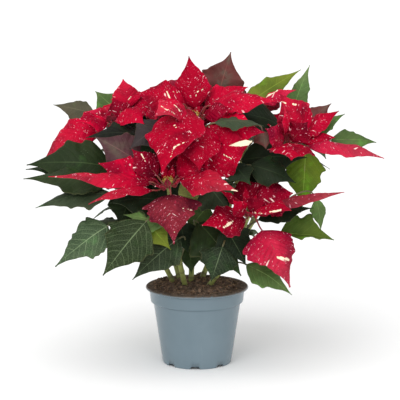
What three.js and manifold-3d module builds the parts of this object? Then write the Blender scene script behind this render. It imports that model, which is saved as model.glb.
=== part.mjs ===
// A poinsettia in a plastic nursery pot: seven shoots, each with green leaves, a head of red bracts
// and a cluster of small yellow-green cyathia at its centre.
// Millimetres, +Z up. The origin is the centre of the pot's underside, on the surface that it stands on,
// and -Y is the plant's best side.

import * as THREE from "three";
import { mergeVertices } from "three/addons/utils/BufferGeometryUtils.js";
import Module from "manifold-3d";

const wasm = await Module();
wasm.setup();

// ---- Driving dimensions ----

const GAP = 0.3; // clearance between separate pieces that touch
const TURN = 2 * Math.PI;

const POT_HEIGHT = 98;
const RIM_RADIUS = 65; // outer edge of the rim's flange
const COLLAR_RADIUS = 60; // the collar, just under the flange
const COLLAR_LOW_RADIUS = 58.5;
const STEP_HEIGHT = 78; // where the collar steps in to the tapered body
const BODY_RADIUS = 55; // the body, just under the step
const FOOT_RADIUS = 43.5;
const POT_WALL = 1.7;
const FOOT_WIDTH = 3;
const FLOOR_UNDERSIDE = 4; // the raised floor that the drain holes go through
const FLOOR_THICKNESS = 2;
const FLOOR_TOP = FLOOR_UNDERSIDE + FLOOR_THICKNESS;
const PAD_RADIUS = 15; // the flat pad in the middle of the underside
const PAD_SLOPE = 1.5; // how far the pad's side leans out on its way up to the floor
const STEP_HALF = 1; // half of the height in which the collar steps in
const FLANGE_THICKNESS = 3;
const FLANGE_FILLET = 1.5; // under the flange, where it meets the collar
const FLANGE_BEVEL = 1;
const POT_SIDES = 24;
const NOTCHES = 8;
const NOTCH_WIDTH = 14;
const NOTCH_HEIGHT = 3.4;
const NOTCH_SHOULDER = 2; // how much narrower a notch is at its top, on each side
const NOTCH_START = -93; // degrees round from +X, so that one notch is almost at the front
const DRAIN_HOLES = 8;
const DRAIN_RADIUS = 4;
const DRAIN_CIRCLE = 29;
const DRAIN_SIDES = 6;

const SOIL_LEVEL = 94.5; // at the wall
const SOIL_MOUND = 8; // how much higher the soil stands at the middle
// The waves that its lumps are made of: the height, and how fast each one turns along x and along y.
const SOIL_LUMPS = [[1.4, 0.31, 0.27], [0.9, 0.5, -0.43]];
const SOIL_RINGS = 3;

const STEM_DEPTH = 20; // how far a stem goes down into the soil
const STEM_FOOT_RADIUS = 3.5;
const STEM_TOP_RADIUS = 2.6;
const STEM_SIDES = 6;
const STEM_STEPS = 5;
const STEM_ELBOW = [0.7, 0.42]; // where a stem turns up: its share of the way out, and of the height
const stemRadius = (share) => STEM_FOOT_RADIUS + (STEM_TOP_RADIUS - STEM_FOOT_RADIUS) * share;

const HUB_RADIUS = 5.5; // the disc that the bracts grow from
const HUB_THICKNESS = 4;
const HUB_SEAT = 3.6; // how far out of the middle of the hub a bract's stalk starts

const BLADE_THICKNESS = 0.8;
const TIP_HALF_WIDTH = 0.7;
const PETIOLE_RADIUS = 1.3;
const PETIOLE_HALF_WIDTH = 0.87 * PETIOLE_RADIUS;
const PETIOLE_HALF_DEPTH = 0.75 * PETIOLE_RADIUS;
const PETIOLE_STEPS = 2; // steps along a stalk
const PETIOLE_CLEARANCE = 6; // how far a stalk runs straight out of its hub or its seat at least
const STRAIGHT_SHARE = 0.4; // of its length, or this share of it
const LIMP = 0.35; // the share of a stalk's length over which it turns towards its blade
const STALK_RISE = 0.09; // how much a leaf's stalk arches up, as a share of its length

const CUP_LENGTH = 6.4; // one cyathium
const CUP_RADIUS = 2.3;
const CUP_SIDES = 4;
const CUP_PROFILE = [[0, 0], [1, 0.45], [0.75, 0.88], [0, 1]]; // shares of its radius and of its length
const CUPS_ROUND = 5; // round the one in the middle
const CUP_SPREAD = 2.7;
const CUP_LEAN = 0.6;
const CUP_SINK = 0.7; // how far the cups stand in their disc
const MIDDLE_CUP = 1.1; // the one in the middle is this much larger
const DISC_RADII = [4.2, 3.6];
const DISC_THICKNESS = 1.5;

// Each shoot's place in the soil and the centre of its head.
const SHOOTS = {
  front: { root: [-10, 9], hub: [-34, -90, 241] },
  top: { root: [-8, 18], hub: [-4, -25, 312] },
  left: { root: [-17, 15.5], hub: [-102, 0, 305] },
  right: { root: [0.5, 20], hub: [113, -15, 284] },
  low: { root: [-1.5, 11.5], hub: [64, -80, 207] },
  rear_left: { root: [-14.5, 24], hub: [-62, 84, 288] },
  rear_right: { root: [-6, 26.5], hub: [70, 86, 296] },
};

// ---- Vectors and solids ----

const vector = (list) => new THREE.Vector3(...list);
const lerp = (from, to, share) => from.clone().lerp(to, share);
const radians = THREE.MathUtils.degToRad;
const MERGE_DISTANCE = 1e-4;
const SLANT = [1, 0.37, 0.21]; // a direction that no rod runs along

// A three.js geometry as a solid: shared corners merged, faces with no area left out.
function solidOf(geometry) {
  const bare = geometry.clone();
  bare.deleteAttribute("normal");
  bare.deleteAttribute("uv");
  const merged = mergeVertices(bare, MERGE_DISTANCE);
  const corners = merged.index.array;
  const faces = [];
  for (let i = 0; i < corners.length; i += 3) {
    const [a, b, c] = corners.slice(i, i + 3);
    if (a !== b && b !== c && c !== a) faces.push(a, b, c);
  }
  return new wasm.Manifold(new wasm.Mesh({
    numProp: 3,
    vertProperties: Float32Array.from(merged.attributes.position.array),
    triVerts: Uint32Array.from(faces),
  }));
}

// A closed body through a list of rings that run anticlockwise round its path. cap lists the faces
// that close a ring; mirrored lists the sides whose quads are split along the other diagonal.
function loft(rings, cap, mirrored = []) {
  const count = rings[0].length;
  const faces = [];
  for (let i = 0; i + 1 < rings.length; i += 1) {
    for (let j = 0; j < count; j += 1) {
      const a = i * count + j;
      const b = i * count + (j + 1) % count;
      const c = b + count;
      const d = a + count;
      if (mirrored.includes(j)) faces.push(a, b, d, b, c, d);
      else faces.push(a, b, c, a, c, d);
    }
  }
  const last = (rings.length - 1) * count;
  for (const [a, b, c] of cap) {
    faces.push(a, c, b);
    faces.push(last + a, last + b, last + c);
  }
  const geometry = new THREE.BufferGeometry().setFromPoints(rings.flat());
  geometry.setIndex(faces);
  return solidOf(geometry);
}

// A round rod along a path of points, with one radius for each point.
function rod(path, radii, sides) {
  const cap = [];
  for (let k = 1; k + 1 < sides; k += 1) cap.push([0, k, k + 1]);
  let across = vector(SLANT);
  const rings = path.map((point, i) => {
    const ahead = path[Math.min(i + 1, path.length - 1)];
    const behind = path[Math.max(i - 1, 0)];
    const along = ahead.clone().sub(behind).normalize();
    across = across.clone().addScaledVector(along, -across.dot(along)).normalize();
    const other = along.clone().cross(across);
    const ring = [];
    for (let k = 0; k < sides; k += 1) {
      const angle = TURN * k / sides;
      ring.push(point.clone()
        .addScaledVector(across, radii[i] * Math.cos(angle))
        .addScaledVector(other, radii[i] * Math.sin(angle)));
    }
    return ring;
  });
  return loft(rings, cap);
}

const union = (solids) => wasm.Manifold.union(solids);

// ---- Blades: bracts and leaves ----

// Where a blade is widest, its pointed lobes as [place, reach, height], and the places along it
// where the solid has a section. A flat blade isn't folded along its midrib.
const SHAPES = {
  bract: {
    widest: 0.40,
    pointedness: 1.1,
    lobes: [[0.34, 0.12, 0.04], [0.56, 0.11, 0.05]],
    sections: [0, 0.14, 0.34, 0.62, 1],
    flat: false,
  },
  plainBract: {
    widest: 0.40,
    pointedness: 1.1,
    lobes: [],
    sections: [0, 0.20, 0.54, 1],
    flat: true,
  },
  heart: {
    widest: 0.22,
    pointedness: 1.1,
    lobes: [[0.15, 0.13, 0.20], [0.50, 0.12, 0.10]],
    sections: [0, 0.08, 0.15, 0.21, 0.50, 0.56, 1],
    flat: false,
  },
  leaf: {
    widest: 0.34,
    pointedness: 1.2,
    lobes: [[0.30, 0.12, 0.13], [0.54, 0.12, 0.12]],
    sections: [0, 0.12, 0.30, 0.36, 0.60, 1],
    flat: false,
  },
  plainLeaf: {
    widest: 0.34,
    pointedness: 1.2,
    lobes: [],
    sections: [0, 0.16, 0.48, 1],
    flat: true,
  },
};
const LOBE_BACK = 0.45; // a lobe falls back to the edge in this share of its reach
const SWEEP = 0.18; // how far the edges sweep forward near the base
const NARROWEST = 0.07; // of a blade's outline, at its two ends
const CROWN_PLACE = 0.45; // where along its chord a blade is crowned

// Half of a blade's width at a share of its length, as a share of half its greatest width.
function outline(shape, share) {
  const lean = Math.log(0.5) / Math.log(shape.widest);
  let width = Math.max(NARROWEST, Math.sin(Math.PI * share ** lean)) ** shape.pointedness;
  for (const [place, reach, height] of shape.lobes) {
    const step = (share - place) / reach;
    if (step > -1 && step <= 0) width += height * (1 + step);
    if (step > 0 && step < LOBE_BACK) width += height * (1 - step / LOBE_BACK);
  }
  return width;
}

// The curve of a blade's midrib, with the frame across it.
function midrib(blade) {
  const chord = blade.tip.clone().sub(blade.base);
  const up = vector(blade.face);
  up.addScaledVector(chord, -up.dot(chord) / chord.lengthSq()).normalize();
  const crown = blade.base.clone().addScaledVector(chord, CROWN_PLACE);
  crown.addScaledVector(up, 2 * blade.arch * chord.length());
  return (share) => {
    const point = lerp(lerp(blade.base, crown, share), lerp(crown, blade.tip, share), share);
    const along = lerp(crown.clone().sub(blade.base), blade.tip.clone().sub(crown), share).normalize();
    const across = along.clone().cross(up).normalize();
    return { point, along, across, up: across.clone().cross(along) };
  };
}

// The corners of one section: right, middle and left underneath, then left, middle and right on top.
// A flat section has no middle, and lies halfway down the drop of the fold.
function section(place, across, up, right, drop, ahead, thick, flat) {
  const outer = place.clone().add(ahead).addScaledVector(up, flat ? -drop / 2 : -drop);
  const edge = (side) => outer.clone().addScaledVector(across, side * right);
  const row = flat ? [edge(1), edge(-1)] : [edge(1), place, edge(-1)];
  const lifted = (side) => row.map((point) => point.clone().addScaledVector(up, side * thick));
  return [...lifted(-1), ...lifted(1).reverse()];
}

const FOLDED_CAP = [[0, 1, 4], [0, 4, 5], [1, 2, 3], [1, 3, 4]];
const FOLDED_UNDERSIDE = [0, 1];
const FLAT_CAP = [[0, 1, 2], [0, 2, 3]];
const FLAT_UNDERSIDE = [0];

function bladeSections(blade, margin) {
  const shape = SHAPES[blade.shape];
  const rib = midrib(blade);
  const fold = radians(blade.fold);
  return shape.sections.map((share) => {
    const { point, along, across, up } = rib(share);
    const half = Math.max(TIP_HALF_WIDTH, blade.width / 2 * outline(shape, share)) + margin;
    const ahead = along.multiplyScalar(half * SWEEP * (1 - share));
    const thick = BLADE_THICKNESS / 2 + margin;
    const [right, drop] = [half * Math.cos(fold), half * Math.sin(fold)];
    return section(point, across, up, right, drop, ahead, thick, shape.flat);
  });
}

// The stalk of a blade, from where it grows to the foot of the midrib.
function stalkCurve(blade) {
  const reach = blade.base.clone().sub(blade.root);
  const length = reach.length();
  const first = blade.root.clone();
  if (blade.out) first.addScaledVector(blade.out, Math.max(STRAIGHT_SHARE * length, PETIOLE_CLEARANCE));
  else first.addScaledVector(reach, LIMP).setZ(first.z + STALK_RISE * length);
  const second = blade.base.clone().addScaledVector(midrib(blade)(0).along, -LIMP * length);
  return new THREE.CubicBezierCurve3(blade.root, first, second, blade.base);
}

function stalkSections(blade, margin) {
  const { flat } = SHAPES[blade.shape];
  const curve = stalkCurve(blade);
  let across = midrib(blade)(0).across;
  const rings = [];
  for (let i = PETIOLE_STEPS; i >= 0; i -= 1) {
    const share = i / PETIOLE_STEPS;
    const along = curve.getTangent(share);
    across = across.clone().addScaledVector(along, -across.dot(along)).normalize();
    const up = across.clone().cross(along);
    const point = curve.getPoint(share);
    const [right, thick] = [PETIOLE_HALF_WIDTH + margin, PETIOLE_HALF_DEPTH + margin];
    rings.unshift(section(point, across, up, right, 0, new THREE.Vector3(), thick, flat));
  }
  return rings;
}

const loftOf = (blade, sections) => (
  SHAPES[blade.shape].flat
    ? loft(sections, FLAT_CAP, FLAT_UNDERSIDE)
    : loft(sections, FOLDED_CAP, FOLDED_UNDERSIDE));
const bladeSolid = (blade, margin = 0) => loftOf(blade, bladeSections(blade, margin));
const stalkSolid = (blade, margin = 0) => loftOf(blade, stalkSections(blade, margin));
const wholeSolid = (blade) => (
  loftOf(blade, [...stalkSections(blade, 0).slice(0, -1), ...bladeSections(blade, 0)]));

// ---- Stems ----

// A stem is a curve from its foot in the soil to just under its head.
function stemCurve(shoot) {
  const [x, y] = shoot.root;
  const hub = vector(shoot.hub);
  const foot = new THREE.Vector3(x, y, SOIL_LEVEL - STEM_DEPTH);
  const [out, rise] = STEM_ELBOW;
  const middle = new THREE.Vector3(
    x + (hub.x - x) * out, y + (hub.y - y) * out, SOIL_LEVEL + (hub.z - SOIL_LEVEL) * rise);
  return new THREE.QuadraticBezierCurve3(foot, middle, hub);
}

// The direction that a head faces, and the places where its stem, its hub and its cyathia meet.
for (const shoot of Object.values(SHOOTS)) {
  shoot.curve = stemCurve(shoot);
  shoot.axis = shoot.curve.v2.clone().sub(shoot.curve.v1).normalize();
  shoot.at = (rise) => vector(shoot.hub).addScaledVector(shoot.axis, rise);
}

function stemSolid(shoot, margin = 0) {
  const path = [];
  const radii = [];
  for (let i = 0; i < STEM_STEPS; i += 1) {
    const share = i / STEM_STEPS;
    path.push(shoot.curve.getPoint(share));
    radii.push(stemRadius(share) + margin);
  }
  path.push(shoot.at(-HUB_THICKNESS / 2 - GAP));
  radii.push(STEM_TOP_RADIUS + margin);
  return rod(path, radii, STEM_SIDES);
}

function hubSolid(shoot) {
  const path = [shoot.at(-HUB_THICKNESS / 2), shoot.at(HUB_THICKNESS / 2)];
  return rod(path, [HUB_RADIUS, HUB_RADIUS], STEM_SIDES);
}

// ---- Cyathia ----

function cupSolid(foot, direction, size) {
  const points = CUP_PROFILE.map(([r, h]) => new THREE.Vector2(r * CUP_RADIUS * size, h * CUP_LENGTH * size));
  const geometry = new THREE.LatheGeometry(points, CUP_SIDES);
  const turn = new THREE.Quaternion().setFromUnitVectors(new THREE.Vector3(0, 1, 0), direction);
  geometry.applyQuaternion(turn);
  geometry.translate(foot.x, foot.y, foot.z);
  return solidOf(geometry);
}

function cyathiaSolid(shoot) {
  const seat = HUB_THICKNESS / 2 + GAP;
  const disc = rod([shoot.at(seat), shoot.at(seat + DISC_THICKNESS)], DISC_RADII, STEM_SIDES);
  const middle = shoot.at(seat + DISC_THICKNESS - CUP_SINK);
  const cups = [cupSolid(middle, shoot.axis, MIDDLE_CUP)];
  const across = new THREE.Vector3(1, 0, 0).cross(shoot.axis).normalize();
  for (let k = 0; k < CUPS_ROUND; k += 1) {
    const out = across.clone().applyAxisAngle(shoot.axis, TURN * k / CUPS_ROUND);
    const foot = middle.clone().addScaledVector(out, CUP_SPREAD);
    cups.push(cupSolid(foot, shoot.axis.clone().addScaledVector(out, CUP_LEAN).normalize(), 1));
  }
  return union([disc, ...cups]);
}

// ---- Pot and soil ----

function turned(profile, sides) {
  const geometry = new THREE.LatheGeometry(profile.map(([r, h]) => new THREE.Vector2(r, h)), sides);
  return geometry.rotateX(Math.PI / 2);
}

// The inside of the wall, from the floor up, as [radius, height].
const INSIDE = [
  [FOOT_RADIUS - POT_WALL + FLOOR_TOP * (BODY_RADIUS - FOOT_RADIUS) / STEP_HEIGHT, FLOOR_TOP],
  [BODY_RADIUS - POT_WALL, STEP_HEIGHT - STEP_HALF],
  [COLLAR_LOW_RADIUS - POT_WALL, STEP_HEIGHT + STEP_HALF],
  [COLLAR_RADIUS - POT_WALL, POT_HEIGHT - FLANGE_THICKNESS],
];

// The notches in the foot that let water out from under the pot.
function notchSolid(index) {
  const half = NOTCH_WIDTH / 2;
  const corners = [
    [-half, -1],
    [half, -1],
    [half - NOTCH_SHOULDER, NOTCH_HEIGHT],
    [NOTCH_SHOULDER - half, NOTCH_HEIGHT],
  ];
  const arch = new THREE.Shape(corners.map(([x, y]) => new THREE.Vector2(x, y)));
  const geometry = new THREE.ExtrudeGeometry(arch, { depth: 3 * FOOT_WIDTH, bevelEnabled: false });
  geometry.rotateX(Math.PI / 2);
  geometry.translate(0, FOOT_RADIUS + FOOT_WIDTH, 0);
  return solidOf(geometry.rotateZ(radians(NOTCH_START - 90) + TURN * index / NOTCHES));
}

function drainSolid(index) {
  const geometry = new THREE.CylinderGeometry(DRAIN_RADIUS, DRAIN_RADIUS, 3 * FLOOR_THICKNESS, DRAIN_SIDES);
  geometry.rotateX(Math.PI / 2);
  const angle = radians(NOTCH_START) + TURN * (index + 0.5) / DRAIN_HOLES;
  geometry.translate(DRAIN_CIRCLE * Math.cos(angle), DRAIN_CIRCLE * Math.sin(angle), FLOOR_TOP - 1);
  return solidOf(geometry);
}

function potSolid() {
  const profile = [
    [0, 0],
    [PAD_RADIUS, 0],
    [PAD_RADIUS + PAD_SLOPE, FLOOR_UNDERSIDE],
    [FOOT_RADIUS - FOOT_WIDTH - PAD_SLOPE / 2, FLOOR_UNDERSIDE],
    [FOOT_RADIUS - FOOT_WIDTH, 0],
    [FOOT_RADIUS, 0],
    [BODY_RADIUS, STEP_HEIGHT - STEP_HALF],
    [COLLAR_LOW_RADIUS, STEP_HEIGHT + STEP_HALF],
    [COLLAR_RADIUS, POT_HEIGHT - FLANGE_THICKNESS - FLANGE_FILLET],
    [RIM_RADIUS - FLANGE_BEVEL, POT_HEIGHT - FLANGE_THICKNESS],
    [RIM_RADIUS, POT_HEIGHT - FLANGE_THICKNESS / 2],
    [RIM_RADIUS - FLANGE_BEVEL, POT_HEIGHT],
    [COLLAR_RADIUS + FLANGE_BEVEL, POT_HEIGHT],
    ...INSIDE.slice().reverse(),
    [PAD_RADIUS + 2 * PAD_SLOPE, FLOOR_TOP],
    [PAD_RADIUS, FLOOR_THICKNESS],
    [0, FLOOR_THICKNESS],
  ];
  const cutters = [];
  for (let k = 0; k < NOTCHES; k += 1) cutters.push(notchSolid(k));
  for (let k = 0; k < DRAIN_HOLES; k += 1) cutters.push(drainSolid(k));
  return solidOf(turned(profile, POT_SIDES)).subtract(union(cutters));
}

// The lumpy surface of the soil: how far it stands above its level at the wall.
function soilRise(x, y) {
  const edge = Math.min(1, Math.hypot(x, y) / (COLLAR_RADIUS - POT_WALL));
  let rise = SOIL_MOUND;
  for (const [height, fast, slow] of SOIL_LUMPS) rise += height * Math.sin(fast * x + slow * y);
  return rise * (1 - edge ** 3);
}

function soilSolid(stems) {
  const wall = INSIDE.map(([r, h]) => [r - GAP / Math.cos(Math.PI / POT_SIDES), h]);
  wall[0][1] = FLOOR_TOP + GAP;
  wall.pop();
  const [low, high] = [wall[wall.length - 1], INSIDE[INSIDE.length - 1]];
  const share = (SOIL_LEVEL - low[1]) / (high[1] - low[1]);
  const top = low[0] + share * (high[0] - GAP - low[0]) - GAP;
  const rings = [];
  for (let k = SOIL_RINGS; k >= 0; k -= 1) rings.push([top * k / SOIL_RINGS, SOIL_LEVEL]);
  const geometry = turned([[0, FLOOR_TOP + GAP], ...wall, ...rings], POT_SIDES);
  const place = geometry.attributes.position;
  for (let i = 0; i < place.count; i += 1) {
    const onTop = place.getZ(i) > SOIL_LEVEL - MERGE_DISTANCE;
    if (onTop) place.setZ(i, SOIL_LEVEL + soilRise(place.getX(i), place.getY(i)));
  }
  return solidOf(geometry).subtract(union(stems));
}

// ---- The blades of each shoot ----

// bract(name, shoot, base, tip, width, arch, face, fold, shape): a red bract, from its shoot's hub.
// leaf(name, shoot, height, base, tip, width, arch, face, fold, colour): a leaf, from its shoot's stem
// at a share of the stem's height. base and tip are the two ends of the blade, face is the way that
// its upper side looks, arch is its crown as a share of its length, and fold is in degrees.
const bract = (name, shoot, base, tip, width, arch, face, fold, shape) => (
  { name, shoot, base, tip, width, arch, face, fold, shape, colour: "red" });
const leaf = (name, shoot, height, base, tip, width, arch, face, fold, colour, shape = "leaf") => (
  { name, shoot, height, base, tip, width, arch, face, fold, shape, colour });

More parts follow.
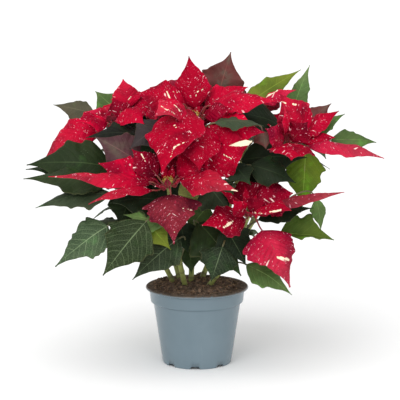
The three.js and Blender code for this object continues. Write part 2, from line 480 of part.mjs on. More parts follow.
const PLACED = [
  bract("front_long_left", "front", [-55, -96, 246], [-175, -118, 256], 28, .03, [0, -4, 9], 10, "bract"),
  bract("front_low_left", "front", [-52, -106, 240], [-127, -136, 230], 26, .1, [0, -3, 9], 10, "bract"),
  bract("front_hanging", "front", [-31, -100, 232], [-27, -130, 177], 62, .16, [0, -9, 4], 8, "heart"),
  bract("front_low_right", "front", [-21, -104, 251], [48, -134, 241], 46, .09, [0, -5, 9], 12, "bract"),
  bract("front_rear_left", "front", [-47, -84, 251], [-78, -74, 282], 36, .08, [2, -8, 5], 10, "bract"),
  bract("front_rear_right", "front", [-24, -84, 251], [18, -74, 279], 48, .08, [-2, -9, 5], 10, "bract"),
  bract("front_rear", "front", [-35, -76, 243], [-31, -34, 275], 62, .08, [0, -6, 8], 10, "bract"),
  bract("top_hanging", "top", [-10, -50, 329], [-41, -118, 260], 76, .14, [-4, -7, 4], 12, "bract"),
  bract("top_right_upper", "top", [11, -46, 305], [81, -70, 302], 46, .05, [0, -9, 3], 8, "bract"),
  bract("top_right_lower", "top", [1, -72, 271], [66, -108, 297], 66, .08, [1, -9, 3], 8, "bract"),
  bract("top_upright", "top", [-1, -14, 324], [-10, 4, 387], 42, .05, [0, -9, 3], 8, "bract"),
  bract("top_right", "top", [14, -34, 330], [96, -46, 337], 38, .08, [0, -6, 7], 12, "bract"),
  bract("top_left_front", "top", [-16, -44, 328], [-50, -84, 315], 38, .1, [-1, -8, 5], 10, "bract"),
  bract("top_left", "top", [-13, -26, 328], [-75, -22, 343], 50, .18, [-1, -7, 6], 10, "bract"),
  bract("top_left_rear", "top", [-6, -10, 336], [-59, 22, 347], 42, .12, [0, -7, 6], 10, "bract"),
  bract("top_curl", "top", [9, -42, 318], [43, -64, 330], 26, .14, [2, -7, 4], 14, "bract"),
  bract("top_right_rear", "top", [10, -10, 326], [64, 24, 347], 42, .1, [0, -6, 7], 10, "bract"),
  bract("top_rear", "top", [-6, 4, 325], [-14, 70, 336], 48, .12, [0, 0, 9], 12, "bract"),
  bract("left_upright", "left", [-85, -2, 322], [-92, 14, 358], 36, .05, [0, -9, 3], 8, "bract"),
  bract("left_drooping", "left", [-117, 2, 299], [-190, -6, 259], 46, .2, [-2, -8, 7], 10, "bract"),
  bract("left_side", "left", [-110, -18, 309], [-146, -46, 313], 36, .1, [-1, -7, 7], 10, "bract"),
  bract("left_side_rear", "left", [-106, 8, 311], [-142, 30, 315], 26, .06, [0, -6, 7], 10, "bract"),
  bract("left_front_right", "left", [-94, -12, 320], [-64, -52, 310], 38, .1, [1, -8, 5], 10, "bract"),
  bract("left_right", "left", [-90, 6, 320], [-56, 16, 339], 42, .1, [1, -6, 7], 10, "bract"),
  bract("left_rear", "left", [-103, 16, 314], [-99, 66, 321], 42, .12, [0, 1, 9], 12, "bract"),
  bract("right_upright", "right", [134, -8, 288], [102, -18, 342], 52, .1, [1, -8, 4], 10, "bract"),
  bract("right_narrow", "right", [109, -26, 292], [105, -44, 331], 26, .08, [7, -4, 2], 16, "bract"),
  bract("right_side_rear", "right", [127, -6, 289], [177, 6, 319], 28, .06, [0, -6, 8], 10, "bract"),
  bract("right_long", "right", [136, -20, 278], [230, -32, 265], 32, .08, [0, -5, 9], 12, "bract"),
  bract("right_front", "right", [116, -36, 284], [113, -88, 271], 56, .12, [0, -8, 6], 14, "bract"),
  bract("right_front_left", "right", [107, -34, 284], [83, -70, 307], 34, .1, [2, -9, 3], 12, "bract"),
  bract("right_rear", "right", [113, 4, 296], [107, 62, 308], 42, .12, [0, 1, 9], 12, "bract"),
  bract("low_rear_right", "low", [72, -66, 219], [117, -58, 226], 54, .08, [0, -8, 5], 10, "bract"),
  bract("low_rear", "low", [65, -62, 211], [53, -48, 243], 52, .08, [0, -9, 4], 10, "bract"),
  bract("low_long_right", "low", [80, -76, 212], [177, -86, 232], 24, .02, [0, -4, 9], 12, "bract"),
  bract("low_front_right", "low", [69, -92, 210], [111, -132, 218], 40, .1, [0, -4, 9], 12, "bract"),
  bract("low_left", "low", [59, -92, 200], [6, -126, 199], 46, .12, [0, -7, 6], 12, "bract"),
  bract("low_hanging", "low", [78, -94, 187], [111, -122, 123], 66, .1, [4, -8, 4], 10, "heart"),
  bract("front_left_upper", "front", [-55, -86, 242], [-118, -92, 268], 46, .1, [0, -8, 6], 10, "bract"),
  bract("top_front", "top", [0, -48, 311], [3, -84, 257], 58, .1, [1, -9, 4], 8, "bract"),
  bract("top_inner", "top", [0, -22, 305], [-8, -16, 337], 42, .05, [-1, -9, 3], 8, "bract"),
  bract("left_inner", "left", [-91, -20, 308], [-104, -16, 339], 32, .06, [-1, -9, 3], 8, "bract"),
  bract("right_inner", "right", [114, -30, 285], [134, -26, 309], 32, .06, [0, -9, 3], 8, "bract"),
  bract("right_long_upper", "right", [130, -12, 281], [172, -10, 288], 28, .12, [0, -6, 8], 10, "bract"),
  bract("low_inner", "low", [66, -96, 205], [80, -92, 227], 32, .06, [0, -9, 3], 8, "bract"),
  leaf("top_leaf_k", "top", .93, [24, 58, 322], [43, 66, 387], 58, .05, [0, -9, 3], 8, "bronze"),
  leaf("left_leaf_a", "left", .92, [-130, 20, 315], [-182, 28, 325], 27, .02, [0, -8, 5], 8, "bronze"),
  leaf("left_leaf_b", "left", .9, [-96, 66, 304], [-131, 84, 335], 48, .06, [0, -8, 5], 8, "green"),
  leaf("left_leaf_c", "left", .9, [-62, -38, 298], [-134, -64, 303], 38, .1, [0, -6, 8], 12, "dark"),
  leaf("left_leaf_d", "left", .74, [-67, -58, 262], [-123, -54, 294], 52, .08, [-1, -8, 5], 8, "bronze"),
  leaf("top_leaf_e", "top", .84, [-37, -50, 311], [-81, -80, 284], 46, .08, [-1, -8, 6], 10, "bronze"),
  leaf("left_leaf_m1", "left", .62, [-103, -40, 255], [-209, -34, 257], 62, .12, [0, -8, 5], 8, "green"),
  leaf("left_leaf_m2", "left", .55, [-108, -50, 246], [-211, -48, 254], 50, .06, [0, -5, 9], 8, "green"),
  leaf("left_leaf_m3", "left", .46, [-108, -58, 236], [-208, -62, 244], 46, .06, [0, -5, 9], 8, "green"),
  leaf("front_leaf_m4", "front", .55, [-102, -80, 229], [-194, -82, 212], 46, .08, [0, -4, 9], 10, "green"),
  leaf("front_leaf_l1", "front", .4, [-106, -102, 194], [-169, -112, 146],
    50, .06, [-2, -8, 5], 6, "green", "heart"),
  leaf("front_leaf_l2", "front", .36, [-60, -110, 201], [-111, -128, 139], 58, .06, [0, -8, 5], 6, "green"),
  leaf("front_leaf_l3", "front", .38, [-20, -80, 175], [-77, -112, 130], 46, .08, [0, -8, 6], 8, "green"),
  leaf("front_leaf_l4", "front", .66, [-37, -98, 196], [-87, -106, 208], 27, .06, [0, -8, 5], 10, "lime"),
  leaf("front_leaf_l5", "front", .5, [-63, -96, 200], [-31, -104, 165], 32, .08, [0, -9, 4], 8, "lime"),
  leaf("low_leaf_n1", "low", .4, [1, -74, 193], [53, -108, 134], 62, .08, [1, -8, 6], 8, "dark"),
  leaf("low_leaf_n2", "low", .3, [31, -106, 170], [17, -122, 130], 44, .06, [0, -9, 4], 8, "green"),
  leaf("top_leaf_n3", "top", .2, [-9, -22, 157], [-7, -34, 120],
    28, .06, [0, -9, 2], 8, "green", "plainLeaf"),
  leaf("top_leaf_n4", "top", .4, [10, -30, 213], [-48, -20, 223], 36, .06, [0, -9, 2], 8, "lime"),
  leaf("low_leaf_n5", "low", .72, [11, -62, 239], [40, -86, 206], 54, .08, [0, -9, 4], 8, "dark"),
  leaf("top_leaf_n6", "top", .64, [41, -54, 261], [65, -84, 240], 36, .1, [1, -8, 6], 10, "dark"),
  leaf("right_leaf_r1", "right", .66, [54, -38, 266], [135, -52, 273], 54, .1, [0, -8, 5], 8, "dark"),
  leaf("right_leaf_r2", "right", .52, [65, -48, 259], [120, -60, 239], 40, .08, [1, -7, 6], 8, "dark"),
  leaf("rear_right_leaf_g4a", "rear_right", .9, [121, 50, 312],
    [144, 60, 372], 26, .04, [-3, -7, 2], 10, "green"),
  leaf("rear_right_leaf_g4b", "rear_right", .9, [58, 48, 319],
    [132, 62, 365], 32, .04, [0, -8, 5], 8, "lime"),
  leaf("right_leaf_g4c", "right", .9, [135, 34, 294], [170, 44, 324], 32, .08, [0, -7, 6], 10, "bronze"),
  leaf("right_leaf_g4d", "right", .88, [139, 6, 289], [185, 18, 314], 24, .06, [0, -6, 7], 10, "green"),
  leaf("right_leaf_g4e", "right", .84, [167, 8, 282], [225, 16, 278], 34, .06, [0, -6, 7], 10, "green"),
  leaf("right_leaf_g4f", "right", .78, [134, -24, 278], [129, -38, 206], 46, .06, [1, -9, 2], 8, "lime"),
  leaf("top_leaf_f1", "top", .88, [21, -62, 317], [80, -52, 315], 32, .08, [0, -3, 9], 10, "dark"),
  leaf("right_leaf_f2", "right", .74, [103, -2, 302], [50, -22, 320], 46, .08, [0, -7, 6], 10, "dark"),
  leaf("top_leaf_h", "top", .8, [80, -48, 301], [84, -58, 280], 26, .06, [0, -9, 3], 8, "bronze"),
  bract("rear_right_front", "rear_right", [82, 40, 326], [124, 30, 346], 22, .1, [0, -7, 6], 12, "bract"),
  leaf("low_leaf_g5a", "low", .66, [101, -72, 178], [168, -66, 169], 46, .06, [0, -6, 8], -34, "green"),
  leaf("low_leaf_g5b", "low", .84, [145, -58, 219], [152, -56, 179], 19, .1, [2, -8, 3], 10, "green"),
  leaf("low_leaf_g5c", "low", .8, [74, -72, 198], [142, -66, 213], 34, .06, [0, -4, 9], 8, "dark"),
  leaf("left_leaf_p1", "left", .36, [-77, -54, 227], [-95, -82, 187], 48, .08, [0, -8, 5], 10, "green"),
  leaf("front_leaf_p2", "front", .58, [-44, -84, 222], [-104, -92, 220],
    44, .08, [0, -6, 8], 10, "dark", "plainLeaf"),
  leaf("low_leaf_g5d", "low", .44, [60, -70, 140], [115, -88, 106], 34, .1, [1, -7, 6], 8, "green"),
  leaf("low_leaf_n7", "low", .46, [33, -84, 190], [59, -92, 144], 46, .08, [1, -8, 5], 8, "dark"),
  leaf("low_leaf_n8", "low", .56, [14, -46, 209], [-12, -52, 177],
    50, .06, [0, -9, 3], 8, "green", "plainLeaf"),
  leaf("top_leaf_q1", "top", .7, [-46, -14, 305], [-65, -24, 252],
    56, .06, [0, -9, 3], 8, "dark", "plainLeaf"),
  leaf("front_leaf_q2", "front", .5, [-21, -62, 191], [-11, -70, 155],
    42, .06, [0, -9, 3], 8, "dark", "plainLeaf"),
  bract("low_left_upper", "low", [57, -92, 204], [43, -108, 226], 22, .06, [0, -9, 4], 10, "bract"),
  leaf("left_leaf_q4", "left", .8, [-56, -8, 284], [-106, 2, 294],
    46, .04, [0, -9, 3], 8, "dark", "plainLeaf"),
  leaf("front_leaf_q5", "front", .76, [-30, -56, 221], [-88, -62, 238],
    40, .06, [0, -8, 5], 8, "dark", "plainLeaf"),
  leaf("front_leaf_q6", "front", .8, [-54, -66, 224], [-13, -62, 250],
    38, .06, [0, -8, 4], 8, "dark", "plainLeaf"),
  bract("top_inner_right", "top", [7, -24, 304], [10, -12, 338], 30, .05, [1, -9, 2], 8, "plainBract"),
  leaf("right_leaf_q7", "right", .6, [93, -16, 263], [57, -30, 218],
    44, .06, [0, -9, 3], 8, "dark", "plainLeaf"),
];

// The same draws in the same order each time.
const DRAW_FACTOR = 16807;
const DRAW_MODULUS = 2147483647;

function draws(seed) {
  let state = seed;
  return () => {
    state = state * DRAW_FACTOR % DRAW_MODULUS;
    return state / DRAW_MODULUS;
  };
}

const GOLDEN_ANGLE = 137.5;
const GOLDEN_SHARE = 0.618;

// The numbers of a head of bracts by rule, each as [the first bract's, what each next one adds, and how
// far a draw may change it]: its place round the head, its slope, its length and where its base is.
const HEAD_RULE = {
  angle: [30, GOLDEN_ANGLE, 20],
  rise: [44, -9, 8],
  length: [42, 4.5, 6],
  from: [13, 1.2, 0],
  height: [7, -1, 0],
  width: [30, 2, 0],
};
const BY_RULE_ARCH = 0.12;
const BRACT_FOLD = 12;
const LEAF_FOLD = 10;

// The same for the leaves of a shoot, without what each next one adds.
const LEAF_RULE = {
  heights: [0.90, 0.66], // the top leaf's share of the stem's height, and what the lowest one is below it
  angle: 16,
  droop: [6, 26],
  length: [66, 22],
  from: [30, 14],
  width: [42, 8],
  base: 12, // how far a base stands above the place where its stalk leaves the stem
};

// The base, the tip and the face of a blade that leaves a place in a direction, at a slope.
function radiating(place, angle, from, base, length, slope) {
  const out = new THREE.Vector3(Math.cos(angle), Math.sin(angle), 0);
  const foot = place.clone().addScaledVector(out, from).setZ(place.z + base);
  const tip = foot.clone().addScaledVector(out, length * Math.cos(slope));
  tip.z += length * Math.sin(slope);
  const face = out.multiplyScalar(-Math.sin(slope)).setZ(Math.cos(slope));
  return [foot.toArray(), tip.toArray(), face.toArray()];
}

// A whole head of bracts by rule: the first ones stand up in the middle, the last ones are the
// longest and lie flat or droop.
function ruleHead(shoot, count, seed) {
  const draw = draws(seed);
  const hub = vector(SHOOTS[shoot].hub);
  const blades = [];
  for (let k = 0; k < count; k += 1) {
    const value = {};
    for (const [name, [first, step, spread]] of Object.entries(HEAD_RULE)) {
      value[name] = first + step * k + (spread ? spread * draw() : 0);
    }
    const [base, tip, face] = radiating(
      hub, radians(value.angle), value.from, value.height, value.length, radians(value.rise));
    const name = `${shoot}_${k}`;
    blades.push(
      bract(name, shoot, base, tip, value.width, BY_RULE_ARCH, face, BRACT_FOLD, "plainBract"));
  }
  return blades;
}

// Leaves by rule round the back and the sides of a shoot, spread evenly over an arc from angle first.
function ruleLeaves(shoot, count, first, arc, seed) {
  const draw = draws(seed);
  const between = ([least, spread]) => least + spread * draw();
  const blades = [];
  for (let k = 0; k < count; k += 1) {
    const height = LEAF_RULE.heights[0] - LEAF_RULE.heights[1] * k / count;
    const root = SHOOTS[shoot].curve.getPoint(height);
    const place = first + arc * (k * GOLDEN_SHARE % 1);
    const angle = radians(place + LEAF_RULE.angle * (draw() - 0.5));
    const slope = radians(-between(LEAF_RULE.droop));
    const length = between(LEAF_RULE.length);
    const from = between(LEAF_RULE.from);
    const [base, tip, face] = radiating(root, angle, from, LEAF_RULE.base, length, slope);
    const [name, width] = [`${shoot}_leaf_${k}`, between(LEAF_RULE.width)];
    blades.push(
      leaf(name, shoot, height, base, tip, width, BY_RULE_ARCH, face, LEAF_FOLD, "green", "plainLeaf"));
  }
  return blades;
}

const BY_RULE = [
  ...ruleHead("rear_left", 9, 11),
  ...ruleHead("rear_right", 9, 23),
  ...ruleLeaves("rear_left", 10, 50, 160, 31),
  ...ruleLeaves("rear_right", 10, -50, 190, 37),
  ...ruleLeaves("left", 4, 85, 80, 41),
  ...ruleLeaves("right", 4, 65, 60, 43),
  ...ruleLeaves("top", 4, 30, 120, 47),
];

// ---- Bending clear ----

// A blade that would meet another piece is bent clear of it: its ends swing front to back, or it
// lifts or drops a little, and a leaf leaves its stem higher or lower. The first clear try is kept.
// A blade by rule that finds no clear place is left out.
const SWINGS = [0, -5, 5, -10, 10, -16, 16, -22, 22];
const LIFTS = [0, 4, -4, 8, -8];
const SHIFTS = [0, 0.04, -0.04, 0.08, -0.08];
const SWING = [0, 1, -0.17];
const SHIFT_SIDESTEP = 20; // millimetres for a shift of a whole stem
const BASE_SHARE = 0.6; // a blade's base goes this share of the way that its tip goes
const HIGHEST_ROOT = 0.97;
const LIFT_EFFORT = 1.5;
const SHIFT_EFFORT = 200;

const TRIES = [];
for (const shift of SHIFTS) {
  for (const swing of SWINGS) {
    for (const lift of LIFTS) TRIES.push({ shift, swing, lift });
  }
}
const effort = (bend) => (
  Math.abs(bend.swing) + LIFT_EFFORT * Math.abs(bend.lift) + SHIFT_EFFORT * Math.abs(bend.shift));
TRIES.sort((one, two) => effort(one) - effort(two));

// A blade at one try, with the root of its stalk: a bract's is in its hub, a leaf's is in its stem,
// and that of a bronze leaf, which is a piece of its own, is seated on the stem. out is the way that a
// stalk leaves the hub or the seat.
function bent(blade, bend) {
  const shoot = SHOOTS[blade.shoot];
  const move = vector(SWING).multiplyScalar(bend.swing);
  move.add(new THREE.Vector3(SHIFT_SIDESTEP * bend.shift, 0, bend.lift));
  const tip = vector(blade.tip).add(move);
  const base = vector(blade.base).addScaledVector(move, BASE_SHARE);
  if (blade.colour === "red") {
    const out = base.clone().sub(vector(shoot.hub));
    out.addScaledVector(shoot.axis, -out.dot(shoot.axis)).normalize();
    return { ...blade, tip, base, out, root: shoot.at(0).addScaledVector(out, HUB_SEAT) };
  }
  const height = Math.min(HIGHEST_ROOT, blade.height + bend.shift);
  const root = shoot.curve.getPoint(height);
  if (blade.colour !== "bronze") return { ...blade, tip, base, root };
  const along = shoot.curve.getTangent(height);
  const out = base.clone().sub(root);
  out.addScaledVector(along, -out.dot(along)).normalize();
  return { ...blade, tip, base, out, root: root.addScaledVector(out, stemRadius(height) + GAP) };
}

const placed = [];

function place(node, kind, solid) {
  placed.push({ node, kind, solid, box: solid.boundingBox() });
}

function boxesMeet(one, two) {
  return [0, 1, 2].every((k) => one.min[k] <= two.max[k] && two.min[k] <= one.max[k]);
}

function meets(solid, others) {
  const box = solid.boundingBox();
  return others.some((other) => boxesMeet(box, other.box) && !solid.intersect(other.solid).isEmpty());
}

function settle(blade, node) {
  const others = placed.filter((piece) => piece.node !== node);
  const sisters = placed.filter((piece) => piece.node === node && piece.kind === "blade");
  let second = null;
  for (const bend of TRIES) {
    const form = bent(blade, bend);
    const fat = bladeSolid(form, GAP);
    if (meets(fat, others) || meets(stalkSolid(form, GAP), others)) continue;
    if (!meets(fat, sisters)) return form;
    second = second ?? form;
  }
  return second;
}

// ---- The pieces ----

const colours = {
  pot: { color: 0x78909c, roughness: 0.45, metalness: 0 },
  soil: { color: 0x3d2f24, roughness: 1, metalness: 0 },
  green: { color: 0x2f4d2c, roughness: 0.55, metalness: 0 },
  red: { color: 0xc4103a, roughness: 0.6, metalness: 0 },
  bronze: { color: 0x5a2f38, roughness: 0.5, metalness: 0 },
  cyathia: { color: 0xa8b03a, roughness: 0.55, metalness: 0 },
};

const group = new THREE.Group();

// Adds a node; of a union that left a loose scrap, only the main body is kept.
function addNode(name, solid, colour) {
  const bodies = solid.decompose().sort((one, two) => two.volume() - one.volume());
  const mesh = bodies[0].getMesh();
  const geometry = new THREE.BufferGeometry();
  geometry.setAttribute("position", new THREE.BufferAttribute(Float32Array.from(mesh.vertProperties), 3));
  geometry.setIndex(new THREE.BufferAttribute(Uint32Array.from(mesh.triVerts), 1));
  geometry.computeVertexNormals();
  const node = new THREE.Mesh(geometry, new THREE.MeshStandardMaterial(colours[colour]));
  node.name = name;
  group.add(node);
}

const pieces = new Map(); // node name to the solids that are fused in it

function addPiece(node, kind, solid) {
  pieces.set(node, [...(pieces.get(node) ?? []), solid]);
  place(node, kind, solid);
}

const pot = potSolid();
place("pot", "pot", pot);
const shoots = Object.entries(SHOOTS);
for (const [name, shoot] of shoots) {
  addPiece(`leafy_stem_${name}`, "stem", stemSolid(shoot));
  addPiece(`bracts_${name}`, "hub", hubSolid(shoot));
  addPiece(`cyathia_${name}`, "cyathia", cyathiaSolid(shoot));
}
const soil = soilSolid(shoots.map(([, shoot]) => stemSolid(shoot, GAP / Math.cos(Math.PI / STEM_SIDES))));
place("soil", "soil", soil);

function nodeOf(blade) {
  if (blade.colour === "red") return `bracts_${blade.shoot}`;
  if (blade.colour === "bronze") return `bronze_${blade.name}`;
  return `leafy_stem_${blade.shoot}`;
}

for (const blade of [...PLACED, ...BY_RULE]) {
  const node = nodeOf(blade);
  const form = settle(blade, node);
  if (form) {
    pieces.set(node, [...(pieces.get(node) ?? []), wholeSolid(form)]);
    place(node, "blade", bladeSolid(form));
    place(node, "stalk", stalkSolid(form));
  } else if (PLACED.includes(blade)) {
    throw new Error(`${blade.name} has no clear place`);
  }
}

addNode("pot", pot, "pot");
addNode("soil", soil, "soil");
for (const [node, solids] of pieces) {
  const colour = { leafy: "green", bracts: "red", bronze: "bronze", cyathia: "cyathia" }[node.split("_")[0]];
  addNode(node, union(solids), colour);
}

export default group;
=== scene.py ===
"""The looks of a poinsettia in its nursery pot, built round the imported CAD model.

Places and sizes are in millimetres, as in the CAD, and become metres where a mesh is made. Each CAD node
is replaced by one finer piece of the same form: every blade is found again by the tip that its node has.
"""

import math

import bpy
import numpy as np
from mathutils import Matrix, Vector, noise


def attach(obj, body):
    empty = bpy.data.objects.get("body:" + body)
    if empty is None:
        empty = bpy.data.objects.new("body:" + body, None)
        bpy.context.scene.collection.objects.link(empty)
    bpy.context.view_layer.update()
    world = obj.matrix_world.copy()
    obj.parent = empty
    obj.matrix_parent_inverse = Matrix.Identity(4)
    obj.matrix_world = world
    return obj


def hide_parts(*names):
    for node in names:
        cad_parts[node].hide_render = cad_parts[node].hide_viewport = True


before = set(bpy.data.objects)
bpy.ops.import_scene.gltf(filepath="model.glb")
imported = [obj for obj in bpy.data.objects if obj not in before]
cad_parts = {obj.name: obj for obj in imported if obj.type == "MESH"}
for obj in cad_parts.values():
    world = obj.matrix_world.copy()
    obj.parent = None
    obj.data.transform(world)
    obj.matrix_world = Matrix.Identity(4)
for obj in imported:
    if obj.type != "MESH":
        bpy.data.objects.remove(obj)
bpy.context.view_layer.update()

MM = 0.001

# ---- Sizes shared with the CAD ----

GAP = 0.3
POT_HEIGHT = 98
RIM_RADIUS = 65
COLLAR_RADIUS = 60
COLLAR_LOW_RADIUS = 58.5
STEP_HEIGHT = 78
BODY_RADIUS = 55
FOOT_RADIUS = 43.5
FOOT_WIDTH = 3
POT_WALL = 1.7
FLOOR_UNDERSIDE = 4
FLOOR_THICKNESS = 2
PAD_RADIUS = 15
PAD_SLOPE = 1.5
STEP_HALF = 1
FLANGE_THICKNESS = 3
FLANGE_FILLET = 1.5
FLANGE_BEVEL = 1
NOTCHES = 8
NOTCH_WIDTH = 14
NOTCH_HEIGHT = 3.4
NOTCH_START = -93
DRAIN_HOLES = 8
DRAIN_RADIUS = 4
DRAIN_CIRCLE = 29
SOIL_LEVEL = 94.5
SOIL_MOUND = 8
SOIL_LUMPS = [(1.4, 0.31, 0.27), (0.9, 0.5, -0.43)]
STEM_DEPTH = 20
STEM_FOOT_RADIUS = 3.5
STEM_TOP_RADIUS = 2.6
STEM_BOW_OUT = 0.7  # where the curve of a stem turns up, as shares of the way out and up to its hub
STEM_BOW_HEIGHT = 0.42
HUB_RADIUS = 5.5
HUB_THICKNESS = 4
STALK_RING = 3.6
BLADE_THICKNESS = 0.8
CUP_LENGTH = 6.4
CUP_RADIUS = 2.3
CUPS_ROUND = 5
CUP_SPREAD = 2.7
GOLDEN_ANGLE = 137.5
GOLDEN_SHARE = 0.618

SHOOTS = {
    "front": ([-10, 9], [-34, -90, 241]),
    "top": ([-8, 18], [-4, -25, 312]),
    "left": ([-17, 15.5], [-102, 0, 305]),
    "right": ([0.5, 20], [113, -15, 284]),
    "low": ([-1.5, 11.5], [64, -80, 207]),
    "rear_left": ([-14.5, 24], [-62, 84, 288]),
    "rear_right": ([-6, 26.5], [70, 86, 296]),
}


# ---- Vectors, curves and draws ----

def vector(values):
    return np.array(values, float)


def unit(value):
    return value / np.linalg.norm(value)


def square_to(value, axis):
    """value with its part along axis taken out, at unit length."""
    return unit(value - axis * (value @ axis) / (axis @ axis))


def smooth(low, high, value):
    share = np.clip((value - low) / (high - low), 0, 1)
    return share * share * (3 - 2 * share)


def hump(offset, reach):
    """1 where offset is 0, and almost 0 from twice the reach on."""
    return np.exp(-(offset / reach) ** 2)


def turned(across, other, angle):
    """A direction between two that are square to each other, at an angle round from the first."""
    return math.cos(angle) * across + math.sin(angle) * other


def angles_round(sides):
    return 2 * math.pi * np.arange(sides) / sides


def circle(across, other, sides):
    angles = angles_round(sides)
    return np.cos(angles)[:, None] * across + np.sin(angles)[:, None] * other


def bezier(a, b, c, d, steps):
    t = np.linspace(0, 1, steps + 1)[:, None]
    return (1 - t) ** 3 * a + 3 * t * (1 - t) ** 2 * b + 3 * t * t * (1 - t) * c + t ** 3 * d


def draws(seed):
    """The same draws in the same order each time, from 0 to 1."""
    state = seed
    while True:
        state = state * 16807 % 2147483647
        yield state / 2147483647


def jitter(draw, width):
    """The next draw, up to half a width either way."""
    return width * (next(draw) - 0.5)


def between(draw, low, high):
    """The next draw, from low to high."""
    return low + (high - low) * next(draw)


def series(values, k):
    """The value number k of a series: its first value, and what each next one adds."""
    first, step = values
    return first + step * k


class Shoot:
    """A stem's curve, from its foot in the soil to the hub of its head, and the axis of the head."""

    def __init__(self, root, hub):
        x, y = root
        self.hub = vector(hub)
        self.foot = vector([x, y, SOIL_LEVEL - STEM_DEPTH])
        self.middle = vector([
            x + (hub[0] - x) * STEM_BOW_OUT, y + (hub[1] - y) * STEM_BOW_OUT,
            SOIL_LEVEL + (hub[2] - SOIL_LEVEL) * STEM_BOW_HEIGHT])
        self.axis = unit(self.hub - self.middle)
        self.across = unit(np.cross(vector([1, 0, 0]), self.axis))
        self.other = np.cross(self.axis, self.across)

    def point(self, share):
        return (1 - share) ** 2 * self.foot + 2 * share * (1 - share) * self.middle + share ** 2 * self.hub

    def along(self, share):
        return unit((1 - share) * (self.middle - self.foot) + share * (self.hub - self.middle))

    def at(self, rise):
        return self.hub + rise * self.axis

    def out(self, angle):
        """A direction square to the axis, at an angle round it."""
        return turned(self.across, self.other, angle)


shoots = {name: Shoot(root, hub) for name, (root, hub) in SHOOTS.items()}


def stem_radius(share):
    return STEM_FOOT_RADIUS + (STEM_TOP_RADIUS - STEM_FOOT_RADIUS) * share


# ---- The blades, as in the CAD ----

def bract(name, base, tip, width, arch, face, fold, shade="red", shape="bract", blunt=False):
    """A bract, on the shoot that its name starts with. A blunt one ends in a short edge in the CAD."""
    shoot = next(shoot for shoot in SHOOTS if name.startswith(shoot))
    return dict(name=name, shoot=shoot, base=base, tip=tip, width=width, arch=arch, face=face, fold=fold,
                shade=shade, shape=shape, blunt=blunt, kind="bract")


def leaf(name, height, base, tip, width, arch, face, fold, shade="green", shape="leaf", blunt=False,
         kind="green"):
    """A leaf, with its height along the stem as a share of the stem's length."""
    form = bract(name, base, tip, width, arch, face, fold, shade, shape, blunt)
    return dict(form, height=height, kind=kind)


def blunt_leaf(name, height, base, tip, width, arch, face, fold, shade="dark"):
    return leaf(name, height, base, tip, width, arch, face, fold, shade, blunt=True)


def lime_leaf(*values):
    return leaf(*values, kind="lime")


def bronze_leaf(*values):
    return leaf(*values, kind="bronze")


